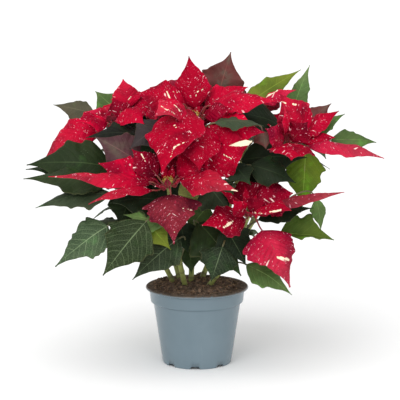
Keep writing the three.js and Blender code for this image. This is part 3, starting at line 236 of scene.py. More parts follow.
# The shade at the end of a row may be painted light or painted shade, as marked at the shades.
PLACED = [
    bract("front_long_left", (-55, -96, 246), (-175, -118, 256), 28, 0.03, (0, -4, 9), 10),
    bract("front_low_left", (-52, -106, 240), (-127, -136, 230), 26, 0.1, (0, -3, 9), 10, "crimson"),
    bract("front_hanging", (-31, -100, 232), (-27, -130, 177), 62, 0.16, (0, -9, 4), 8, "muted", "heart"),
    bract("front_low_right", (-21, -104, 251), (48, -134, 241), 46, 0.09, (0, -5, 9), 12, "crimson"),
    bract("front_rear_left", (-47, -84, 251), (-78, -74, 282), 36, 0.08, (2, -8, 5), 10, "deep"),
    bract("front_rear_right", (-24, -84, 251), (18, -74, 279), 48, 0.08, (-2, -9, 5), 10),
    bract("front_rear", (-35, -76, 243), (-31, -34, 275), 62, 0.08, (0, -6, 8), 10, "deep"),
    bract("top_hanging", (-10, -50, 329), (-41, -118, 260), 76, 0.14, (-4, -7, 4), 12, "crimson"),
    bract("top_right_upper", (11, -46, 305), (81, -70, 302), 46, 0.05, (0, -9, 3), 8, "vivid"),
    bract("top_right_lower", (1, -72, 271), (66, -108, 297), 66, 0.08, (1, -9, 3), 8, "crimson"),
    bract("top_upright", (-1, -14, 324), (-10, 4, 387), 42, 0.05, (0, -9, 3), 8, "crimson"),
    bract("top_right", (14, -34, 330), (96, -46, 337), 38, 0.08, (0, -6, 7), 12),
    bract("top_left_front", (-16, -44, 328), (-50, -84, 315), 38, 0.1, (-1, -8, 5), 10, "bright"),
    bract("top_left", (-13, -26, 328), (-75, -22, 343), 50, 0.18, (-1, -7, 6), 10, "crimson"),
    bract("top_left_rear", (-6, -10, 336), (-59, 22, 347), 42, 0.12, (0, -7, 6), 10, "pink"),
    bract("top_curl", (9, -42, 318), (43, -64, 330), 26, 0.14, (2, -7, 4), 14, "deep"),
    bract("top_right_rear", (10, -10, 326), (64, 24, 347), 42, 0.1, (0, -6, 7), 10),
    bract("top_rear", (-6, 4, 325), (-14, 70, 336), 48, 0.12, (0, 0, 9), 12),
    bract("left_upright", (-85, -2, 322), (-92, 14, 358), 36, 0.05, (0, -9, 3), 8, "bright"),
    bract("left_drooping", (-117, 2, 299), (-190, -6, 259), 46, 0.2, (-2, -8, 7), 10),
    bract("left_side", (-110, -18, 309), (-146, -46, 313), 36, 0.1, (-1, -7, 7), 10, "vivid"),
    bract("left_side_rear", (-106, 8, 311), (-142, 30, 315), 26, 0.06, (0, -6, 7), 10, "pink"),
    bract("left_front_right", (-94, -12, 320), (-64, -52, 310), 38, 0.1, (1, -8, 5), 10),
    bract("left_right", (-90, 6, 320), (-56, 16, 339), 42, 0.1, (1, -6, 7), 10, "bright"),
    bract("left_rear", (-103, 16, 314), (-99, 66, 321), 42, 0.12, (0, 1, 9), 12),
    bract("right_upright", (134, -8, 288), (102, -18, 342), 52, 0.1, (1, -8, 4), 10, "bright"),
    bract("right_narrow", (109, -26, 292), (105, -44, 331), 26, 0.08, (7, -4, 2), 16, "bright"),
    bract("right_side_rear", (127, -6, 289), (177, 6, 319), 28, 0.06, (0, -6, 8), 10),
    bract("right_long", (136, -20, 278), (230, -32, 265), 32, 0.08, (0, -5, 9), 12, "pink"),
    bract("right_front", (116, -36, 284), (113, -88, 271), 56, 0.12, (0, -8, 6), 14, "crimson"),
    bract("right_front_left", (107, -34, 284), (83, -70, 307), 34, 0.1, (2, -9, 3), 12, "pink"),
    bract("right_rear", (113, 4, 296), (107, 62, 308), 42, 0.12, (0, 1, 9), 12),
    bract("low_rear_right", (72, -66, 219), (117, -58, 226), 54, 0.08, (0, -8, 5), 10, "deep"),
    bract("low_rear", (65, -62, 211), (53, -48, 243), 52, 0.08, (0, -9, 4), 10, "deep"),
    bract("low_long_right", (80, -76, 212), (177, -86, 232), 24, 0.02, (0, -4, 9), 12, "muted"),
    bract("low_front_right", (69, -92, 210), (111, -132, 218), 40, 0.1, (0, -4, 9), 12, "crimson"),
    bract("low_left", (59, -92, 200), (6, -126, 199), 46, 0.12, (0, -7, 6), 12, "crimson"),
    bract("low_hanging", (78, -94, 187), (111, -122, 123), 66, 0.1, (4, -8, 4), 10, "pink", "heart"),
    bract("front_left_upper", (-55, -86, 242), (-118, -92, 268), 46, 0.1, (0, -8, 6), 10, "bright"),
    bract("top_front", (0, -48, 311), (3, -84, 257), 58, 0.1, (1, -9, 4), 8, "crimson"),
    bract("top_inner", (0, -22, 305), (-8, -16, 337), 42, 0.05, (-1, -9, 3), 8, "deep"),
    bract("left_inner", (-91, -20, 308), (-104, -16, 339), 32, 0.06, (-1, -9, 3), 8, "deep"),
    bract("right_inner", (114, -30, 285), (134, -26, 309), 32, 0.06, (0, -9, 3), 8, "deep"),
    bract("right_long_upper", (130, -12, 281), (172, -10, 288), 28, 0.12, (0, -6, 8), 10),
    bract("low_inner", (66, -96, 205), (80, -92, 227), 32, 0.06, (0, -9, 3), 8, "deep"),
    bronze_leaf("top_leaf_k", 0.93, (24, 58, 322), (43, 66, 387), 58, 0.05, (0, -9, 3), 8, "bronze"),
    bronze_leaf("left_leaf_a", 0.92, (-130, 20, 315), (-182, 28, 325), 27, 0.02, (0, -8, 5), 8, "umber"),
    leaf("left_leaf_b", 0.9, (-96, 66, 304), (-131, 84, 335), 48, 0.06, (0, -8, 5), 8, "fresh"),
    leaf("left_leaf_c", 0.9, (-62, -38, 298), (-134, -64, 303), 38, 0.1, (0, -6, 8), 12, "night"),
    bronze_leaf("left_leaf_d", 0.74, (-67, -58, 262), (-123, -54, 294), 52, 0.08, (-1, -8, 5), 8, "slate"),
    bronze_leaf("top_leaf_e", 0.84, (-37, -50, 311), (-81, -80, 284), 46, 0.08, (-1, -8, 6), 10, "dusk"),
    leaf("left_leaf_m1", 0.62, (-103, -40, 255), (-209, -34, 257), 62, 0.12, (0, -8, 5), 8),
    leaf("left_leaf_m2", 0.55, (-108, -50, 246), (-211, -48, 254), 50, 0.06, (0, -5, 9), 8),
    leaf("left_leaf_m3", 0.46, (-108, -58, 236), (-208, -62, 244), 46, 0.06, (0, -5, 9), 8),
    leaf("front_leaf_m4", 0.55, (-102, -80, 229), (-194, -82, 212), 46, 0.08, (0, -4, 9), 10, "sage"),
    leaf("front_leaf_l1", 0.4, (-106, -102, 194),
         (-169, -112, 146), 50, 0.06, (-2, -8, 5), 6, "grey", "heart"),
    leaf("front_leaf_l2", 0.36, (-60, -110, 201), (-111, -128, 139), 58, 0.06, (0, -8, 5), 6),
    leaf("front_leaf_l3", 0.38, (-20, -80, 175), (-77, -112, 130), 46, 0.08, (0, -8, 6), 8, "sage"),
    lime_leaf("front_leaf_l4", 0.66, (-37, -98, 196), (-87, -106, 208), 27, 0.06, (0, -8, 5), 10, "pale"),
    lime_leaf("front_leaf_l5", 0.5, (-63, -96, 200), (-31, -104, 165), 32, 0.08, (0, -9, 4), 8, "moss"),
    leaf("low_leaf_n1", 0.4, (1, -74, 193), (53, -108, 134), 62, 0.08, (1, -8, 6), 8),
    leaf("low_leaf_n2", 0.3, (31, -106, 170), (17, -122, 130), 44, 0.06, (0, -9, 4), 8, "dark"),
    blunt_leaf("top_leaf_n3", 0.2, (-9, -22, 157), (-7, -34, 120), 28, 0.06, (0, -9, 2), 8, "rear"),
    lime_leaf("top_leaf_n4", 0.4, (10, -30, 213), (-48, -20, 223), 36, 0.06, (0, -9, 2), 8, "straw"),
    leaf("low_leaf_n5", 0.72, (11, -62, 239), (40, -86, 206), 54, 0.08, (0, -9, 4), 8, "sage"),
    leaf("top_leaf_n6", 0.64, (41, -54, 261), (65, -84, 240), 36, 0.1, (1, -8, 6), 10, "dark"),
    leaf("right_leaf_r1", 0.66, (54, -38, 266), (135, -52, 273), 54, 0.1, (0, -8, 5), 8, "dark"),
    leaf("right_leaf_r2", 0.52, (65, -48, 259), (120, -60, 239), 40, 0.08, (1, -7, 6), 8, "dark"),
    leaf("rear_right_leaf_g4a", 0.9, (121, 50, 312), (144, 60, 372), 26, 0.04, (-3, -7, 2), 10, "pale"),
    lime_leaf("rear_right_leaf_g4b", 0.9, (58, 48, 319), (132, 62, 365), 32, 0.04, (0, -8, 5), 8, "moss"),
    bronze_leaf("right_leaf_g4c", 0.9, (135, 34, 294), (170, 44, 324), 32, 0.08, (0, -7, 6), 10, "bronze"),
    leaf("right_leaf_g4d", 0.88, (139, 6, 289), (185, 18, 314), 24, 0.06, (0, -6, 7), 10, "fresh"),
    leaf("right_leaf_g4e", 0.84, (167, 8, 282), (225, 16, 278), 34, 0.06, (0, -6, 7), 10, "fresh"),
    lime_leaf("right_leaf_g4f", 0.78, (134, -24, 278), (129, -38, 206), 46, 0.06, (1, -9, 2), 8, "lime"),
    leaf("top_leaf_f1", 0.88, (21, -62, 317), (80, -52, 315), 32, 0.08, (0, -3, 9), 10, "sage"),
    leaf("right_leaf_f2", 0.74, (103, -2, 302), (50, -22, 320), 46, 0.08, (0, -7, 6), 10, "dark"),
    bronze_leaf("top_leaf_h", 0.8, (80, -48, 301), (84, -58, 280), 26, 0.06, (0, -9, 3), 8, "bronze"),
    bract("rear_right_front", (82, 40, 326), (124, 30, 346), 22, 0.1, (0, -7, 6), 12, "pink"),
    leaf("low_leaf_g5a", 0.66, (101, -72, 178), (168, -66, 169), 46, 0.06, (0, -6, 8), -34, "olive"),
    leaf("low_leaf_g5b", 0.84, (145, -58, 219), (152, -56, 179), 19, 0.1, (2, -8, 3), 10, "fresh"),
    leaf("low_leaf_g5c", 0.8, (74, -72, 198), (142, -66, 213), 34, 0.06, (0, -4, 9), 8, "dark"),
    leaf("left_leaf_p1", 0.36, (-77, -54, 227), (-95, -82, 187), 48, 0.08, (0, -8, 5), 10),
    blunt_leaf("front_leaf_p2", 0.58, (-44, -84, 222), (-104, -92, 220), 44, 0.08, (0, -6, 8), 10),
    leaf("low_leaf_g5d", 0.44, (60, -70, 140), (115, -88, 106), 34, 0.1, (1, -7, 6), 8, "fresh"),
    leaf("low_leaf_n7", 0.46, (33, -84, 190), (59, -92, 144), 46, 0.08, (1, -8, 5), 8, "dark"),
    blunt_leaf("low_leaf_n8", 0.56, (14, -46, 209), (-12, -52, 177), 50, 0.06, (0, -9, 3), 8, "fresh"),
    blunt_leaf("top_leaf_q1", 0.7, (-46, -14, 305), (-65, -24, 252), 56, 0.06, (0, -9, 3), 8),
    blunt_leaf("front_leaf_q2", 0.5, (-21, -62, 191), (-11, -70, 155), 42, 0.06, (0, -9, 3), 8),
    bract("low_left_upper", (57, -92, 204), (43, -108, 226), 22, 0.06, (0, -9, 4), 10),
    blunt_leaf("left_leaf_q4", 0.8, (-56, -8, 284), (-106, 2, 294), 46, 0.04, (0, -9, 3), 8),
    blunt_leaf("front_leaf_q5", 0.76, (-30, -56, 221), (-88, -62, 238), 40, 0.06, (0, -8, 5), 8),
    blunt_leaf("front_leaf_q6", 0.8, (-54, -66, 224), (-13, -62, 250), 38, 0.06, (0, -8, 4), 8),
    bract("top_inner_right", (7, -24, 304), (10, -12, 338), 30, 0.05, (1, -9, 2), 8, "deep", blunt=True),
    blunt_leaf("right_leaf_q7", 0.6, (93, -16, 263), (57, -30, 218), 44, 0.06, (0, -9, 3), 8),
]


def rising(base, out, up, length, rise):
    """The tip of a blade that leaves its base outwards and up at an angle, and the way that it faces."""
    tip = base + length * (math.cos(rise) * out + math.sin(rise) * up)
    return tip, math.cos(rise) * up - math.sin(rise) * out


UP = vector([0, 0, 1])


def level(angle):
    """A level direction, at an angle round from +X."""
    return vector([math.cos(angle), math.sin(angle), 0])


# The heads by rule: for each value of a bract, the one of the innermost bract and what each next one adds.
HEAD_TURN = 40
HEAD_RISE = (48, -9)
HEAD_LENGTH = (42, 4.5)
HEAD_REACH = (13, 1.2)
HEAD_HEIGHT = (7, -1)
HEAD_WIDTH = (30, 2)
LEAF_HIGHEST = 0.90
LEAF_SPAN = 0.66
RULE_ARCH = 0.12


def rule_head(shoot, count, seed):
    """A whole head of bracts by rule, as in the CAD."""
    draw = draws(seed)
    blades = []
    for k in range(count):
        out = level(math.radians(GOLDEN_ANGLE * k + HEAD_TURN + jitter(draw, 20)))
        rise = math.radians(series(HEAD_RISE, k) + jitter(draw, 8))
        length = series(HEAD_LENGTH, k) + 6 * next(draw)
        base = shoots[shoot].hub + series(HEAD_REACH, k) * out + series(HEAD_HEIGHT, k) * UP
        tip, face = rising(base, out, UP, length, rise)
        width = series(HEAD_WIDTH, k)
        blades.append(bract(f"{shoot}_{k}", base, tip, width, RULE_ARCH, face, 12, blunt=True))
    return blades


def rule_leaves(shoot, count, first, arc, seed):
    """Leaves by rule round the back and the sides of a shoot, as in the CAD."""
    draw = draws(seed)
    blades = []
    for k in range(count):
        name, height = f"{shoot}_leaf_{k}", LEAF_HIGHEST - LEAF_SPAN * k / count
        out = level(math.radians(first + arc * (k * GOLDEN_SHARE % 1) + jitter(draw, 16)))
        droop = math.radians(-between(draw, 6, 32))
        length = between(draw, 66, 88)
        base = shoots[shoot].point(height) + between(draw, 30, 44) * out + 12 * UP
        tip, face = rising(base, out, UP, length, droop)
        width = between(draw, 42, 50)
        # The shade "rear" is painted light: a lighter green, as these leaves lie in the plant's shade.
        blades.append(blunt_leaf(name, height, base, tip, width, RULE_ARCH, face, 10, "rear"))
    return blades


BY_RULE = [
    *rule_head("rear_left", 9, 11),
    *rule_head("rear_right", 9, 23),
    *rule_leaves("rear_left", 10, 50, 160, 31),
    *rule_leaves("rear_right", 10, -50, 190, 37),
    *rule_leaves("left", 4, 85, 80, 41),
    *rule_leaves("right", 4, 65, 60, 43),
    *rule_leaves("top", 4, 30, 120, 47),
]

# The bends that the CAD tries, to keep its blades clear of each other: first the slightest ones.
SWINGS = [0, -5, 5, -10, 10, -16, 16, -22, 22]
LIFTS = [0, 4, -4, 8, -8]
SHIFTS = [0, 0.04, -0.04, 0.08, -0.08]
SWING = vector([0, 1, -0.17])
SHIFT_SIDESTEP = 20
BASE_SHARE = 0.6  # how much of the tip's move the base makes
COSTS = (200, 1, 1.5)  # how much a bend of each kind counts
TRIES = [(shift, swing, lift) for shift in SHIFTS for swing in SWINGS for lift in LIFTS]
TRIES.sort(key=lambda bend: sum(cost * abs(value) for cost, value in zip(COSTS, bend)))
HIGHEST_LEAF = 0.97
CROWN_PLACE = 0.45  # where along its chord a blade's arch is highest
FOUND_WITHIN = 0.05
TIP_HALF_WIDTH = 0.7
NARROWEST = 0.07

# The outlines of the blades: how pointed they are, where they are widest as a share of their length, how
# crinkled their edge is, and the place, the reach and the height of each lobe.
SHAPES = {
    "bract": dict(pointed=1.1, widest=0.40, crinkle=0.035, lobes=[(0.34, 0.16, 0.03), (0.56, 0.15, 0.03)]),
    "heart": dict(pointed=1.1, widest=0.22, crinkle=0.035, lobes=[(0.15, 0.13, 0.20), (0.50, 0.12, 0.10)]),
    "leaf": dict(pointed=1.2, widest=0.34, crinkle=0.012, lobes=[(0.30, 0.12, 0.13), (0.54, 0.12, 0.12)]),
}


def node_of(blade):
    if blade["kind"] == "bract":
        return f"bracts_{blade['shoot']}"
    if blade["kind"] == "bronze":
        return f"bronze_{blade['name']}"
    return f"leafy_stem_{blade['shoot']}"


def bent(blade, bend):
    """The blade at one bend, with the root of its stalk and the way that the stalk leaves it."""
    shift, swing, lift = bend
    shoot = shoots[blade["shoot"]]
    move = SWING * swing + [SHIFT_SIDESTEP * shift, 0, lift]
    base = vector(blade["base"]) + BASE_SHARE * move
    form = dict(blade, tip=vector(blade["tip"]) + move, base=base, out=None)
    if blade["kind"] == "bract":
        form["out"] = square_to(form["base"] - shoot.hub, shoot.axis)
        form["root"] = shoot.hub + STALK_RING * form["out"]
        return form
    height = min(HIGHEST_LEAF, blade["height"] + shift)
    form["height"] = height
    form["root"] = shoot.point(height)
    if blade["kind"] == "bronze":
        form["out"] = square_to(form["base"] - form["root"], shoot.along(height))
        form["root"] = form["root"] + (stem_radius(height) + GAP) * form["out"]
    return form


def midrib(form, share):
    """Points on a blade's midrib, with the directions along it, across it and up from it."""
    share = np.atleast_1d(share)[:, None]
    base, tip = form["base"], form["tip"]
    chord = tip - base
    up = square_to(vector(form["face"]), chord)
    crown = base + CROWN_PLACE * chord + 2 * form["arch"] * np.linalg.norm(chord) * up
    point = (1 - share) ** 2 * base + 2 * share * (1 - share) * crown + share ** 2 * tip
    along = (1 - share) * (crown - base) + share * (tip - crown)
    along /= np.linalg.norm(along, axis=1)[:, None]
    across = np.cross(along, up)
    across /= np.linalg.norm(across, axis=1)[:, None]
    return point, along, across, np.cross(across, along)


node_points = {}


def settled(blade):
    """The blade as its CAD node has it, or None where the CAD left it out."""
    node = node_of(blade)
    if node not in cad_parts:
        return None
    if node not in node_points:
        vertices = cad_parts[node].data.vertices
        node_points[node] = np.array([vertex.co for vertex in vertices]) / MM
    for bend in TRIES:
        form = bent(blade, bend)
        point, _, across, up = midrib(form, 1)
        corner = point[0] + BLADE_THICKNESS / 2 * up[0]
        if form["blunt"]:
            half = max(TIP_HALF_WIDTH, form["width"] / 2 * NARROWEST ** SHAPES[form["shape"]]["pointed"])
            fold = math.radians(form["fold"])
            corner += half * (math.cos(fold) * across[0] - math.sin(fold) / 2 * up[0])
        if np.abs(node_points[node] - corner).max(axis=1).min() < FOUND_WITHIN:
            return form
    return None


# ---- Meshes ----

LEFT_FLECKS = vector([3.17, 1.93])  # the left halves of the blades have flecks from another place


def add_object(name, data):
    thing = bpy.data.objects.new(name, data)
    bpy.context.scene.collection.objects.link(thing)
    return thing


def grid_faces(rows, columns, closed=False):
    """Quads between rows of points; each row is a ring if closed is true."""
    faces = []
    for i in range(rows - 1):
        for j in range(columns if closed else columns - 1):
            a, b = i * columns + j, i * columns + (j + 1) % columns
            faces.append([a, b, b + columns, a + columns])
    return faces


def body_faces(rings, sides):
    """Quads between rings of points, with the first and the last ring filled."""
    last = (rings - 1) * sides
    caps = [list(range(sides))[::-1], [last + k for k in range(sides)]]
    return grid_faces(rings, sides, True) + caps


def tube(path, radii, sides):
    """A closed round body along a path: its points, ring by ring, and its faces."""
    path = np.asarray(path, float)
    ahead = np.gradient(path, axis=0)
    ahead /= np.linalg.norm(ahead, axis=1)[:, None]
    across = vector([1, 0.37, 0.21])
    rings = []
    for point, along, radius in zip(path, ahead, np.broadcast_to(radii, len(path))):
        across = square_to(across, along)
        rings.append(point + radius * circle(across, np.cross(along, across), sides))
    return np.concatenate(rings), body_faces(len(rings), sides)


class Piece:
    """Gathers the meshes of one piece, with their attributes, and makes one object of them."""

    NUMBERS = ("vein", "edge", "along", "under", "cream", "accent")

    def __init__(self, name):
        self.name = name
        self.points = []
        self.faces = []
        self.slots = []
        self.values = {key: [] for key in (*self.NUMBERS, "tint", "flecks")}
        self.materials = []
        self.count = 0

    def add(self, points, faces, material, tint=(1, 1, 1), flecks=(0, 0), **numbers):
        count = len(points)
        self.points.append(points)
        self.faces += [[corner + self.count for corner in face] for face in faces]
        if material not in self.materials:
            self.materials.append(material)
        self.slots += [self.materials.index(material)] * len(faces)
        for key in self.NUMBERS:
            self.values[key].append(np.broadcast_to(numbers.get(key, 0.0), count))
        self.values["tint"].append(np.broadcast_to(vector(tint), (count, 3)))
        self.values["flecks"].append(np.broadcast_to(vector(flecks), (count, 2)))
        self.count += count

    def add_tube(self, path, radii, sides, material, **values):
        points, faces = tube(path, radii, sides)
        self.add(points, faces, material, **values)

    def mesh(self):
        mesh = bpy.data.meshes.new(self.name)
        mesh.from_pydata((np.concatenate(self.points) * MM).tolist(), [], self.faces)
        return mesh

    def make(self, slot, *nodes):
        mesh = self.mesh()
        for material in self.materials:
            mesh.materials.append(material)
        mesh.polygons.foreach_set("material_index", self.slots)
        mesh.polygons.foreach_set("use_smooth", [True] * len(mesh.polygons))
        values = {key: np.concatenate(parts) for key, parts in self.values.items()}
        for key in self.NUMBERS:
            layer = mesh.attributes.new(key, "FLOAT", "POINT")
            layer.data.foreach_set("value", values[key].astype(np.float32))
        tint = np.hstack([values["tint"], np.ones((self.count, 1))]).astype(np.float32)
        mesh.color_attributes.new("tint", "FLOAT_COLOR", "POINT").data.foreach_set("color", tint.ravel())
        corners = np.concatenate(self.faces)
        counts = [len(face) for face in self.faces]
        left = np.add.reduceat(values["edge"][corners], np.cumsum([0, *counts[:-1]])) < 0
        flecks = values["flecks"][corners] + np.repeat(left, counts)[:, None] * LEFT_FLECKS
        layer = mesh.uv_layers.new(name="flecks")
        layer.data.foreach_set("uv", flecks.astype(np.float32).ravel())
        mesh.validate()
        piece = add_object(self.name, mesh)
        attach(piece, "root")
        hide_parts(*nodes)
        return piece


# ---- Blades in detail ----

BLADE_STEPS = (52, 20)  # faces along a blade, and across it
INNER_STEPS = (18, 8)
FINE_THICKNESS = 0.5
SWEEP = 0.18
TWIST = math.radians(14)
VEIN_ANGLE = math.radians(52)
BRACT_QUILTING = 1.9  # how high a bract stands out between its side veins
LEAF_QUILTING = 0.9
HANGING_RELIEF = 1.7  # the large hanging blades stand out this many times as much
BRACT_ROLL = 3.6  # how far the edges of a bract roll up or down in places
LEAF_ROLL = 2.8
USUAL_HALF = 22  # the half width in millimetres for which waves and rolls are set
THINNEST = 0.05
LOBE_BACK = 0.45  # a lobe falls off towards the tip over this share of its reach
TAIL_NARROWING = 0.24
TAIL_START = (0.62, 0.9)
TAIL_END = (1.03, 0.93)
EDGE_TURNS = (1.5, 2.7, 4.6)  # the swells of an edge, along a blade
EDGE_SWELL = 0.045
CRINKLES = 8.7
VEIN_REACH = 0.24  # how far a side vein draws the skin in, as a share of the distance to the next one
WAVE_OVERTONE = 3.1
OVERTONE_HEIGHT = 0.6
RIPPLE_HEIGHT = 0.7
ROLL_START = 0.35  # where a rolled edge starts, as a share of the half width
GROOVE_DEPTH = 0.5
GROOVE_WIDTH = 1.2


def outline(form, share, draw):
    """Half of a blade's width along one of its sides, as a share of half its greatest width."""
    shape = SHAPES[form["shape"]]
    lean = math.log(0.5) / math.log(shape["widest"])
    width = np.maximum(THINNEST, np.sin(math.pi * share ** lean)) ** shape["pointed"]
    for place, reach, height in shape["lobes"]:
        step = (share - place - jitter(draw, 0.05)) / reach
        rise = np.where(step < 0, 1 + step, 1 - step / LOBE_BACK)
        width = width + height * between(draw, 0.7, 1.3) * smooth(0, 1, rise)
    width = width * (1 - TAIL_NARROWING * smooth(*TAIL_START, share) * smooth(*TAIL_END, share))
    for turns in EDGE_TURNS:
        phase = next(draw)
        width = width * (1 + EDGE_SWELL / turns ** 0.5 * np.sin(2 * math.pi * (turns * share + phase)))
    crinkle = np.sin(2 * math.pi * (CRINKLES * share + phase)) * np.sin(5 * share + 6 * phase)
    return width * (1 + shape["crinkle"] * crinkle)


def quilting(form, length, share, side, spread, draw):
    """The number of the side vein that each point is near, and how far the skin stands out there."""
    spacing = length / between(draw, 8, 11)
    lean = spread / math.tan(VEIN_ANGLE) * (0.7 + 1.3 * spread / form["width"])
    vein = (share * length - lean) / spacing + next(draw)
    vein = vein + 0.14 * np.sin(2.4 * vein + 7 * next(draw)) + 0.05 * np.sin(spread / 2.5 + 5 * vein)
    nearest = np.abs(vein - np.round(vein)) * spacing
    pillow = 1 - hump(nearest, VEIN_REACH * spacing)
    uneven = 0.9 * np.abs(np.sin(12.9 * np.floor(vein) + np.sign(side)))
    uneven = 0.55 + uneven * (0.6 + 0.4 * np.sin(spread / 3 + vein))
    strength = BRACT_QUILTING if form["kind"] == "bract" else LEAF_QUILTING
    strength *= HANGING_RELIEF if form["shape"] == "heart" else 1
    strength *= min(1, length / 30)
    return vein, strength * uneven * pillow * smooth(0.5, 5, spread) * (1 - np.abs(side) ** 5)


def waves(form, length, share, side, half, draw):
    """How far a blade's edges wave and roll up or down."""
    out = np.abs(side)
    size = np.minimum(half / USUAL_HALF, 1.3)
    turns = between(draw, 1.5, 3)
    phases = np.where(side < 0, next(draw), next(draw)) * 2 * math.pi
    wave = between(draw, 1.7, 3.2) * size * out ** 2 * np.sin(2 * math.pi * turns * share + phases)
    finer = np.sin(2 * math.pi * (WAVE_OVERTONE * turns * share + phases))
    wave = wave + OVERTONE_HEIGHT * size * out ** 3 * finer
    most = BRACT_ROLL if form["kind"] == "bract" else LEAF_ROLL
    for _ in range(2):
        hand = 1 if next(draw) < 0.5 else -1
        middle, reach = between(draw, 0.25, 0.75), between(draw, 0.12, 0.26)
        roll = (2 * next(draw) - 1.2) * most
        wave = wave + roll * size * smooth(ROLL_START, 1, hand * side) * hump(share - middle, reach)
    lift, tilt = 2 * math.pi * next(draw), 2 * math.pi * next(draw)
    ripple = np.sin(share * length / 7 + lift + 2 * side) * np.sin(half * side / 6 + tilt)
    return wave + RIPPLE_HEIGHT * ripple


def blade_rows(form, draw):
    """The upper surface of a blade as rows of points, its upward directions, and its attributes."""
    along_steps, across_steps = form.get("steps", BLADE_STEPS)
    share = np.linspace(0, 1, along_steps + 1)
    side = np.linspace(-1, 1, across_steps + 1)[None, :]
    point, along, across, up = midrib(form, share)
    twist = jitter(draw, TWIST) * (share - 0.3)[:, None]
    across, up = (across * np.cos(twist) + up * np.sin(twist), up * np.cos(twist) - across * np.sin(twist))
    length = np.linalg.norm(form["tip"] - form["base"])
    share = share[:, None]
    halves = [np.maximum(0.2, form["width"] / 2 * outline(form, share, draw)) for _ in (0, 1)]
    half = np.where(side < 0, halves[0], halves[1])
    spread = np.abs(side) * half
    vein, relief = quilting(form, length, share, side, spread, draw)
    wave = waves(form, length, share, side, half, draw)
    body = np.sin(math.pi * np.clip(share, 0.02, 0.98)) ** 0.5
    groove = -GROOVE_DEPTH * hump(spread, GROOVE_WIDTH) * (1 - share)
    fold = math.radians(form["fold"])
    rise = -spread * math.sin(fold) + body * (relief + wave) + groove
    ahead = spread * np.sqrt(np.abs(side)) * SWEEP * (1 - share)
    rows = (point[:, None] + across[:, None] * (side * half * math.cos(fold))[..., None]
            + up[:, None] * rise[..., None] + along[:, None] * ahead[..., None])
    cos, sin = math.cos(VEIN_ANGLE), math.sin(VEIN_ANGLE)
    distance = share * length
    flecks = np.stack([distance * cos + spread * sin, spread * cos - distance * sin], axis=-1) / 100
    values = dict(vein=vein, edge=side * np.ones_like(share), along=share * np.ones_like(side))
    return rows, up, values, flecks


# Cream marks on the bracts that show them best: each from one place to another, as shares of the blade's
# length and of its half width, and then its half widths in millimetres at both ends.
CREAM = {
    "top_right_lower": [(0.65, -0.1, 0.83, -0.1, 0.6, 3.3), (0.83, -0.1, 1.0, 0.1, 3.3, 3.8),
                        (0.52, 0.2, 0.62, 0.5, 0.9, 0.9), (0.27, -0.1, 0.33, -0.3, 0.6, 0.6)],
    "top_right_upper": [(0.06, -0.1, 0.08, 0.8, 0.8, 0.8)],
    "top_hanging": [(0.83, -0.7, 0.71, -0.5, 0.5, 1.1), (0.71, -0.5, 0.63, -0.7, 1.1, 0.6),
                    (0.40, 0.0, 0.44, -0.1, 0.9, 0.9)],
    "top_upright": [(0.25, 0.1, 0.33, 0.2, 0.6, 0.6), (0.33, 0.2, 0.35, 0.5, 0.6, 0.6)],
    "top_left_front": [(0.71, 0.6, 0.67, -0.2, 0.6, 1.2), (0.67, -0.2, 0.60, -0.7, 1.2, 0.6),
                       (0.40, 0.0, 0.38, -0.5, 0.8, 1.2)],
    "top_left": [(0.44, 0.3, 0.37, 0.0, 0.8, 0.8), (0.31, 0.5, 0.21, 0.7, 0.8, 0.8)],
    "top_left_rear": [(0.42, -0.1, 0.33, -0.1, 1.0, 1.0), (0.54, -0.2, 0.42, -0.4, 0.8, 0.8)],
    "left_upright": [(0.31, 0.1, 0.38, 0.3, 0.6, 1.0)],
    "left_right": [(0.37, -0.2, 0.71, -0.5, 1.0, 1.8)],
    "right_upright": [(0.88, -0.9, 0.82, -0.2, 0.9, 1.2), (0.73, 0.4, 0.69, 0.5, 1.3, 1.3)],
    "rear_right_front": [(0.19, -0.6, 0.50, -0.8, 1.5, 2.0)],
    "front_rear_left": [(0.75, 0.4, 0.54, 0.0, 0.8, 0.6)],
    "front_hanging": [(0.81, -0.2, 0.83, -0.9, 0.6, 0.5), (0.35, -0.5, 0.38, -0.9, 0.9, 0.5)],
    "front_low_right": [(0.92, 0.9, 1.0, -0.8, 1.0, 0.8)],
    "low_left": [(0.63, -0.6, 0.50, -0.3, 1.3, 2.2), (0.50, -0.3, 0.40, -0.2, 2.2, 0.7)],
    "low_front_right": [(0.08, 0.9, 0.50, 0.98, 0.9, 0.9), (0.64, 0.8, 0.80, 0.8, 1.2, 1.5)],
    "low_hanging": [(0.53, 0.1, 0.62, -0.6, 1.7, 2.1)],
}
CREAM_FADE = 4


def cream_marks(form, rows):
    """How far inside a cream mark each point is: 0.5 on the mark's edge, more inside it."""
    value = np.zeros(rows.shape[:2])
    last_row, last_column = len(rows) - 1, rows.shape[1] - 1
    for mark in CREAM.get(form["name"], ()):
        first, final = (rows[round(along * last_row), round((side + 1) / 2 * last_column)]
                        for along, side in (mark[:2], mark[2:4]))
        step = final - first
        share = np.clip((rows - first) @ step / (step @ step), 0, 1)
        distance = np.linalg.norm(rows - first - share[..., None] * step, axis=2)
        reach = mark[4] + (mark[5] - mark[4]) * share
        value = np.maximum(value, np.clip(0.5 + (reach - distance) / CREAM_FADE, 0, 1))
    return value


